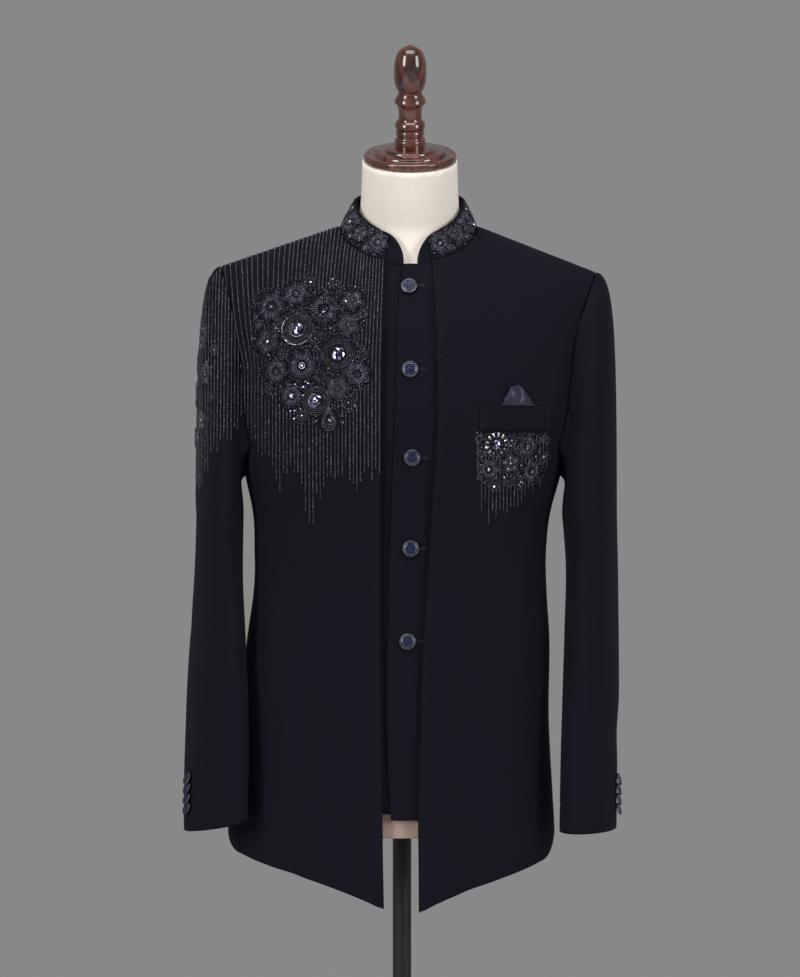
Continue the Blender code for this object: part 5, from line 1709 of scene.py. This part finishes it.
def lay(store, area, chart, x, y, turn, sizes, lift, tone):
    """Sew one bead at a place of the chart, turned within it."""
    place, normal = chart(x, y)
    dx, dy = on_circle(LOOK_AHEAD, turn)
    ahead, _ = chart(x + dx, y + dy)
    direction = ahead - place
    if direction.length < 1e-4:
        direction = normal.orthogonal()
    add(store, area, place + normal * lift, direction, normal, sizes, tone)


def ring_of(area, chart, radius, lift, crystal=False, step=2.1):
    """A ring of seed beads or small crystals."""
    count = max(int(math.tau * radius / step), 5)
    for i in range(count):
        angle = math.tau * i / count
        px, py = on_circle(radius, angle)
        if crystal:
            lay(crystals, area, chart, px, py, angle, gem(0.85, 0.9), lift, tone_with_painted_glint(0.0, 0.4, 0.04))
        else:
            lay(seeds, area, chart, px, py, angle + math.pi / 2, bead(1.6, 0.64), lift + 0.4,
                tone_with_painted_glint(0.1, 0.7, 0.05))


def petal(area, chart, turn, inner, outer, width, lift):
    """A petal of three long bugle beads, edged with seed beads."""
    length = outer - inner
    for shift, share in ((-0.30, 0.72), (0.30, 0.72), (0.0, 1.0)):
        middle = inner + length * share * 0.5 + (0.0 if share == 1.0 else length * 0.08)
        px, py = rotated(middle, shift * width, turn)
        lay(bugles, area, chart, px, py, turn + shift * 0.25, bead(length * share * 0.92, 0.95),
            lift + (0.9 if share == 1.0 else 0.4), tone_with_painted_glint(0.1, 1.0, 0.05))
    for side in (-1, 1):
        for n in range(5):
            t = 0.12 + 0.19 * n
            reach = inner + length * t
            wide = side * width * 0.62 * math.sin(math.pi * min(t * 0.95, 1.0)) ** 0.7
            px, py = rotated(reach, wide, turn)
            lay(seeds, area, chart, px, py, turn + side * 0.9 * (0.5 - t), bead(1.9, 0.7), lift + 0.3,
                tone_with_painted_glint(0.0, 0.6, 0.04))
    lay(seeds, area, chart, *on_circle(outer, turn), turn, bead(1.7, 0.7), lift + 0.3,
        tone_with_painted_glint(0.2, 0.9, 0.12))


# Inner radius of a ring that holds a set stone, by its outer one, and the pitch of its rounds
STONE_ROOM, STONE_MARGIN, RING_PITCH = {21: 8.0, 19: 7.5, 17: 7.0, 14: 5.32}, 1.5, 2.35


def motif(area, chart, kind, radius, lift=0.9):
    """One flower, ring, circle or drop of the beadwork."""
    first = RANDOM.uniform(0, math.tau)
    if kind == "daisy":
        count = 8 if radius > 16 else 7
        for i in range(count):
            petal(area, chart, first + math.tau * i / count, radius * 0.26, radius * 0.94,
                  math.tau * radius * 0.62 / count * 0.8, lift)
        ring_of(area, chart, radius * 0.17, lift + 0.8, crystal=True, step=1.9)
        lay(crystals, area, chart, 0, 0, 0, gem(1.5, 1.9), lift + 0.8, tone_with_painted_glint(0.0, 0.6, 0.2))
    elif kind == "bloom":
        for i in range(5):
            angle = first + math.tau * i / 5
            px, py = on_circle(radius * 0.56, angle)
            for share in (1.0, 0.62, 0.28):
                reach = radius * 0.38 * share
                count = max(int(math.tau * reach / 2.0), 4)
                for n in range(count):
                    t = math.tau * n / count
                    dx, dy = on_circle(reach, t)
                    lay(bugles if share > 0.9 else seeds, area, chart, px + dx, py + dy, t + math.pi / 2,
                        bead(1.9, 0.75), lift + 0.4 + 0.5 * (1 - share), tone_with_painted_glint(0.0, 0.7, 0.05))
            lay(crystals, area, chart, px, py, 0, gem(1.1, 1.4), lift + 0.9, tone_with_painted_glint(0.0, 0.6, 0.08))
        lay(crystals, area, chart, 0, 0, 0, gem(1.8, 2.1), lift + 0.6, tone_with_painted_glint(0.0, 0.6, 0.25))
    elif kind == "ring":
        inner = STONE_ROOM[radius] + STONE_MARGIN
        ring_of(area, chart, inner, lift, crystal=True)
        for n in range(1, 6):
            reach = inner + RING_PITCH * n
            if reach < radius:
                ring_of(area, chart, reach, lift + (0.5 if n % 2 else 0.1), crystal=n == 4)
    elif kind == "circle":
        for share in (1.0, 0.6):
            ring_of(area, chart, radius * share, lift * 0.6)
        lay(crystals, area, chart, 0, 0, 0, gem(1.4, 1.7), lift * 0.6, tone_with_painted_glint(0.0, 0.6, 0.2))
    else:
        for share, lifted in ((1.0, 0.2), (0.78, 0.6), (0.56, 0.3)):
            for n in range(int(34 * share)):
                t = math.tau * n / int(34 * share)
                px = radius * 0.70 * share * math.sin(t) * math.sin(t / 2) ** 1.2 * 1.15
                py = radius * share * math.cos(t)
                lay(seeds, area, chart, px, py, t, bead(1.8, 0.75), lift + lifted,
                    tone_with_painted_glint(0.2, 0.8, 0.08))
        lay(crystals, area, chart, 0, -radius * 0.3, math.pi / 2, bead(4.4, 3.0), lift, 0.15)


for kind, x, z, radius in CHEST_MOTIFS:
    motif("chest_flowers", front_chart(RIGHT_FRONT, x, z), kind, radius)
PLACES_PER_DEGREE = ARMHOLE_POINTS / 360
upper_sleeve = [t ** CAP_CROWDING for t in shares(24)]
for kind, angle, height, radius in SLEEVE_MOTIFS:
    column = sleeve_column(-1, angle % 360 * PLACES_PER_DEGREE, upper_sleeve, [0.05])
    near = sleeve_column(-1, (angle % 360 + 1) * PLACES_PER_DEGREE, upper_sleeve, [0.05])
    n = min(range(1, len(column) - 1), key=lambda i: abs(column[i].z - height))
    normal = (column[n + 1] - column[n - 1]).cross(near[n] - column[n]).normalized()
    motif("sleeve_flowers", chart_at(BEADED_SLEEVE, column[n], normal), kind, radius)

# Short bugle beads, seed beads and crystals fill the ground between the flowers
FILL_BOX, FILL_COUNT, FILL_SPACE = (-172, -40, 1222, 1392), 5200, 2.1


def fill_ground(area, tree, motifs, box, count, reach):
    """Scatter beads between the flowers, none closer to another than the space between them."""
    placed = {}
    for _ in range(count):
        x, z = RANDOM.uniform(box[0], box[1]), RANDOM.uniform(box[2], box[3])
        nearest = min(math.hypot(x - mx, z - mz) - radius for _, mx, mz, radius in motifs)
        cell = (int(x // FILL_SPACE), int(z // FILL_SPACE))
        near = [placed.get((cell[0] + i, cell[1] + k)) for i in (-1, 0, 1) for k in (-1, 0, 1)]
        if not -1.0 < nearest < reach or any(
                other and math.hypot(x - other[0], z - other[1]) < FILL_SPACE for other in near):
            continue
        placed[cell] = (x, z)
        chart = front_chart(tree, x, z)
        turn = RANDOM.uniform(0, math.pi)
        pick = RANDOM.random()
        if pick < 0.10:
            lay(crystals, area, chart, 0, 0, turn, gem(1.1, 1.3), 0.9, tone_with_painted_glint(0.0, 0.6, 0.12))
        elif pick < 0.50:
            lay(seeds, area, chart, 0, 0, turn, bead(1.8, 0.7), 0.9, tone_with_painted_glint(0.0, 0.7, 0.05))
        else:
            lay(bugles, area, chart, 0, 0, turn, bead(3.2, 0.75), 1.0, tone_with_painted_glint(0.1, 1.0, 0.06))


fill_ground("chest_flowers", RIGHT_FRONT, CHEST_MOTIFS, FILL_BOX, FILL_COUNT, GROUND + 1.5)

# Under the pocket: flowers close below the welt, and short strings that hang from them
POCKET_MOTIFS = [
    ("ring", 106, 1199, 14), ("daisy", 141, 1197, 14), ("bloom", 122, 1178, 12), ("daisy", 97, 1171, 13),
    ("daisy", 146, 1169, 13), ("circle", 89, 1191, 5), ("circle", 124, 1204, 5), ("circle", 160, 1186, 5),
    ("circle", 120, 1158, 6), ("circle", 160, 1206, 4), ("circle", 86, 1206, 4), ("circle", 104, 1152, 5),
    ("circle", 132, 1154, 4),
]
POCKET_ENDS = [(84, 1160), (90, 1132), (97, 1116), (104, 1110), (112, 1122), (122, 1138), (132, 1140),
               (142, 1146), (152, 1150), (162, 1168), (168, 1178)]
POCKET_ROWS, POCKET_TOP = (85.0, 167.0), 1210
POCKET_FILL_BOX, POCKET_FILL_COUNT = (83, 168, 1146, 1213), 1800
SPOKES, SPOKE_REACH, SPOKE_LIFT = 13, 11.4, 2.2
for x in np.arange(*POCKET_ROWS, ROW_PITCH):
    end = stripe_end(POCKET_ENDS, x)
    path = [seen_from_front(LEFT_FRONT, x, z) for z in np.arange(POCKET_TOP, end, -STRING_DROP)]
    string_beads("pocket", path, keep=lambda middle: all(
        math.hypot(middle.x - mx, middle.z - mz) > 0.9 * radius for _, mx, mz, radius in POCKET_MOTIFS))
for kind, x, z, radius in POCKET_MOTIFS:
    chart = front_chart(LEFT_FRONT, x, z)
    motif("pocket", chart, kind, radius)
    if kind == "ring":
        # Painted highlight: the spoke crystals round the ring's upper side get full tone, the others a low
        # one
        for n in range(SPOKES):
            turn = math.tau * n / SPOKES
            lay(crystals, "pocket", chart, *on_circle(SPOKE_REACH, turn), turn, (2.4, 1.3, 1.9),
                SPOKE_LIFT, 1.0 if 0.2 < turn < 3.9 else 0.3)

fill_ground("pocket", LEFT_FRONT, POCKET_MOTIFS, POCKET_FILL_BOX, POCKET_FILL_COUNT, GROUND + 1.0)

# Round the collar: daisies, blooms and small circles in a ground of short beads
COLLAR_TREE = tree_of(collar_outer)


def collar_place(around, share):
    """Outer surface of the collar and its normal."""
    across = collar_surface(around + 1, share) - collar_surface(around - 1, share)
    up = collar_surface(around, share + 0.01) - collar_surface(around, share - 0.01)
    return collar_surface(around, share), across.cross(up).normalized()


COLLAR_CLEAR = 2.5          # degrees left bare at each end
COLLAR_FIRST, COLLAR_LAST = COLLAR_ENDS[1] + COLLAR_CLEAR, 360 + COLLAR_ENDS[-1] - COLLAR_CLEAR
COLLAR_MARGIN, COLLAR_FLOWERS, COLLAR_FILL = 8.0, 15, 1500
COLLAR_DAISY, COLLAR_BLOOM, COLLAR_CIRCLE = 13.5, 11.0, 3.6
flower_pitch = (COLLAR_LAST - COLLAR_FIRST - 2 * COLLAR_MARGIN) / (COLLAR_FLOWERS - 1)
for n in range(COLLAR_FLOWERS):
    around = COLLAR_FIRST + COLLAR_MARGIN + flower_pitch * n
    chart = chart_at(COLLAR_TREE, *collar_place(around, 0.50))
    kind, radius = ("bloom", COLLAR_BLOOM) if n % 2 else ("daisy", COLLAR_DAISY)
    motif("collar", chart, kind, radius, 0.5)
    if n < COLLAR_FLOWERS - 1:
        for share in (0.20, 0.78):
            chart = chart_at(COLLAR_TREE, *collar_place(around + flower_pitch / 2, share))
            motif("collar", chart, "circle", COLLAR_CIRCLE, 0.6)
for _ in range(COLLAR_FILL):
    around, share = RANDOM.uniform(COLLAR_FIRST, COLLAR_LAST), RANDOM.uniform(0.05, 0.93)
    chart = chart_at(COLLAR_TREE, *collar_place(around, share))
    turn = RANDOM.uniform(0, math.pi)
    store, size = (bugles, bead(2.6, 0.7)) if RANDOM.random() < 0.55 else (seeds, bead(1.6, 0.62))
    lay(store, "collar", chart, 0, 0, turn, size, 0.6, tone_with_painted_glint(0.0, 0.8, 0.05))

for word, store, template, look, smooth in (
        ("seeds", seeds, barrel_template(), SEED_GLASS, True),
        ("bugles", bugles, barrel_template(), BUGLE_GLASS, True),
        ("crystals", crystals, gem_template(), CRYSTAL, False)):
    for area, beads in store.items():
        sew_on("%s_%s" % (area, word), beads, template, look, smooth)


# The hand stitching
# Worked buttonholes in navy thread on the inner front's left half, small pick stitches along the
# outer fronts' edges, and tacks that hold the welt's ends. Each stitch is a short raised thread.

BUTTONHOLE_REACH, BUTTONHOLE_PITCH = 17.0, 0.62
BUTTONHOLE_HALF, BUTTONHOLE_STITCH, BAR_STITCHES, BAR_STITCH, BAR_PITCH = 0.75, 1.3, 5, 1.4, 0.65
PICK_SET, PICK_STEP, PICK_LENGTH, THREAD_RADIUS = 4.5, 6.0, 1.7, 0.26
PICK_ABOVE_HEM, PICK_BELOW_NECK = 20, 4
TACK_INSET, TACK_FROM, TACK_TO, TACK_STEP, TACK_LENGTH = 1.6, 2.0, 1.5, 2.4, 1.6
INNER_TREE, WELT_TREE = tree_of(inner_fronts[1]), tree_of(welt)
stitches = {}


def stitch(area, tree, x, z, lean, length):
    """One stitch on a cloth, leaning from the horizontal by an angle in degrees."""
    point, normal = seen_from_front(tree, x, z)
    if point is not None:
        sine, cosine = sine_cosine(lean)
        across = Vector((cosine, 0, sine))
        add(stitches, area, point + normal * THREAD_RADIUS * 0.5, across - normal * across.dot(normal),
            normal, bead(length, THREAD_RADIUS), 0.5)


for x, z, _ in FRONT_BUTTONS:
    for n in range(int(BUTTONHOLE_REACH / BUTTONHOLE_PITCH)):
        for aside in (-BUTTONHOLE_HALF, BUTTONHOLE_HALF):
            stitch("buttonhole", INNER_TREE, x + n * BUTTONHOLE_PITCH, z + aside, 90, BUTTONHOLE_STITCH)
    for n in range(BAR_STITCHES):
        rise = (n - BAR_STITCHES // 2) * BAR_PITCH
        stitch("buttonhole", INNER_TREE, x + BUTTONHOLE_REACH, z + rise, 0, BAR_STITCH)
pick_from, pick_to = FRONT_EDGES[0][0] + PICK_ABOVE_HEM, FRONT_EDGES[-1][0] - PICK_BELOW_NECK
for column, (side, word) in enumerate(SIDES, 1):
    tree = {1: LEFT_FRONT, -1: RIGHT_FRONT}[side]
    for z in np.arange(pick_from, pick_to, PICK_STEP):
        x = smooth_rows(FRONT_EDGES, z, column) + side * PICK_SET
        stitch("front_edge_%s" % word, tree, x, z, 90, PICK_LENGTH)
welt_places = np.array([tuple(vertex.co / MM) for vertex in welt.data.vertices])
left, _, low = welt_places.min(axis=0)
right, _, high = welt_places.max(axis=0)
for x in (left + TACK_INSET, right - TACK_INSET):
    for z in np.arange(low + TACK_FROM, high - TACK_TO, TACK_STEP):
        stitch("welt_end", WELT_TREE, x, z, 90, TACK_LENGTH)
for area, threads in stitches.items():
    sew_on("%s_stitches" % area, threads, barrel_template(), SEWING_THREAD, True)
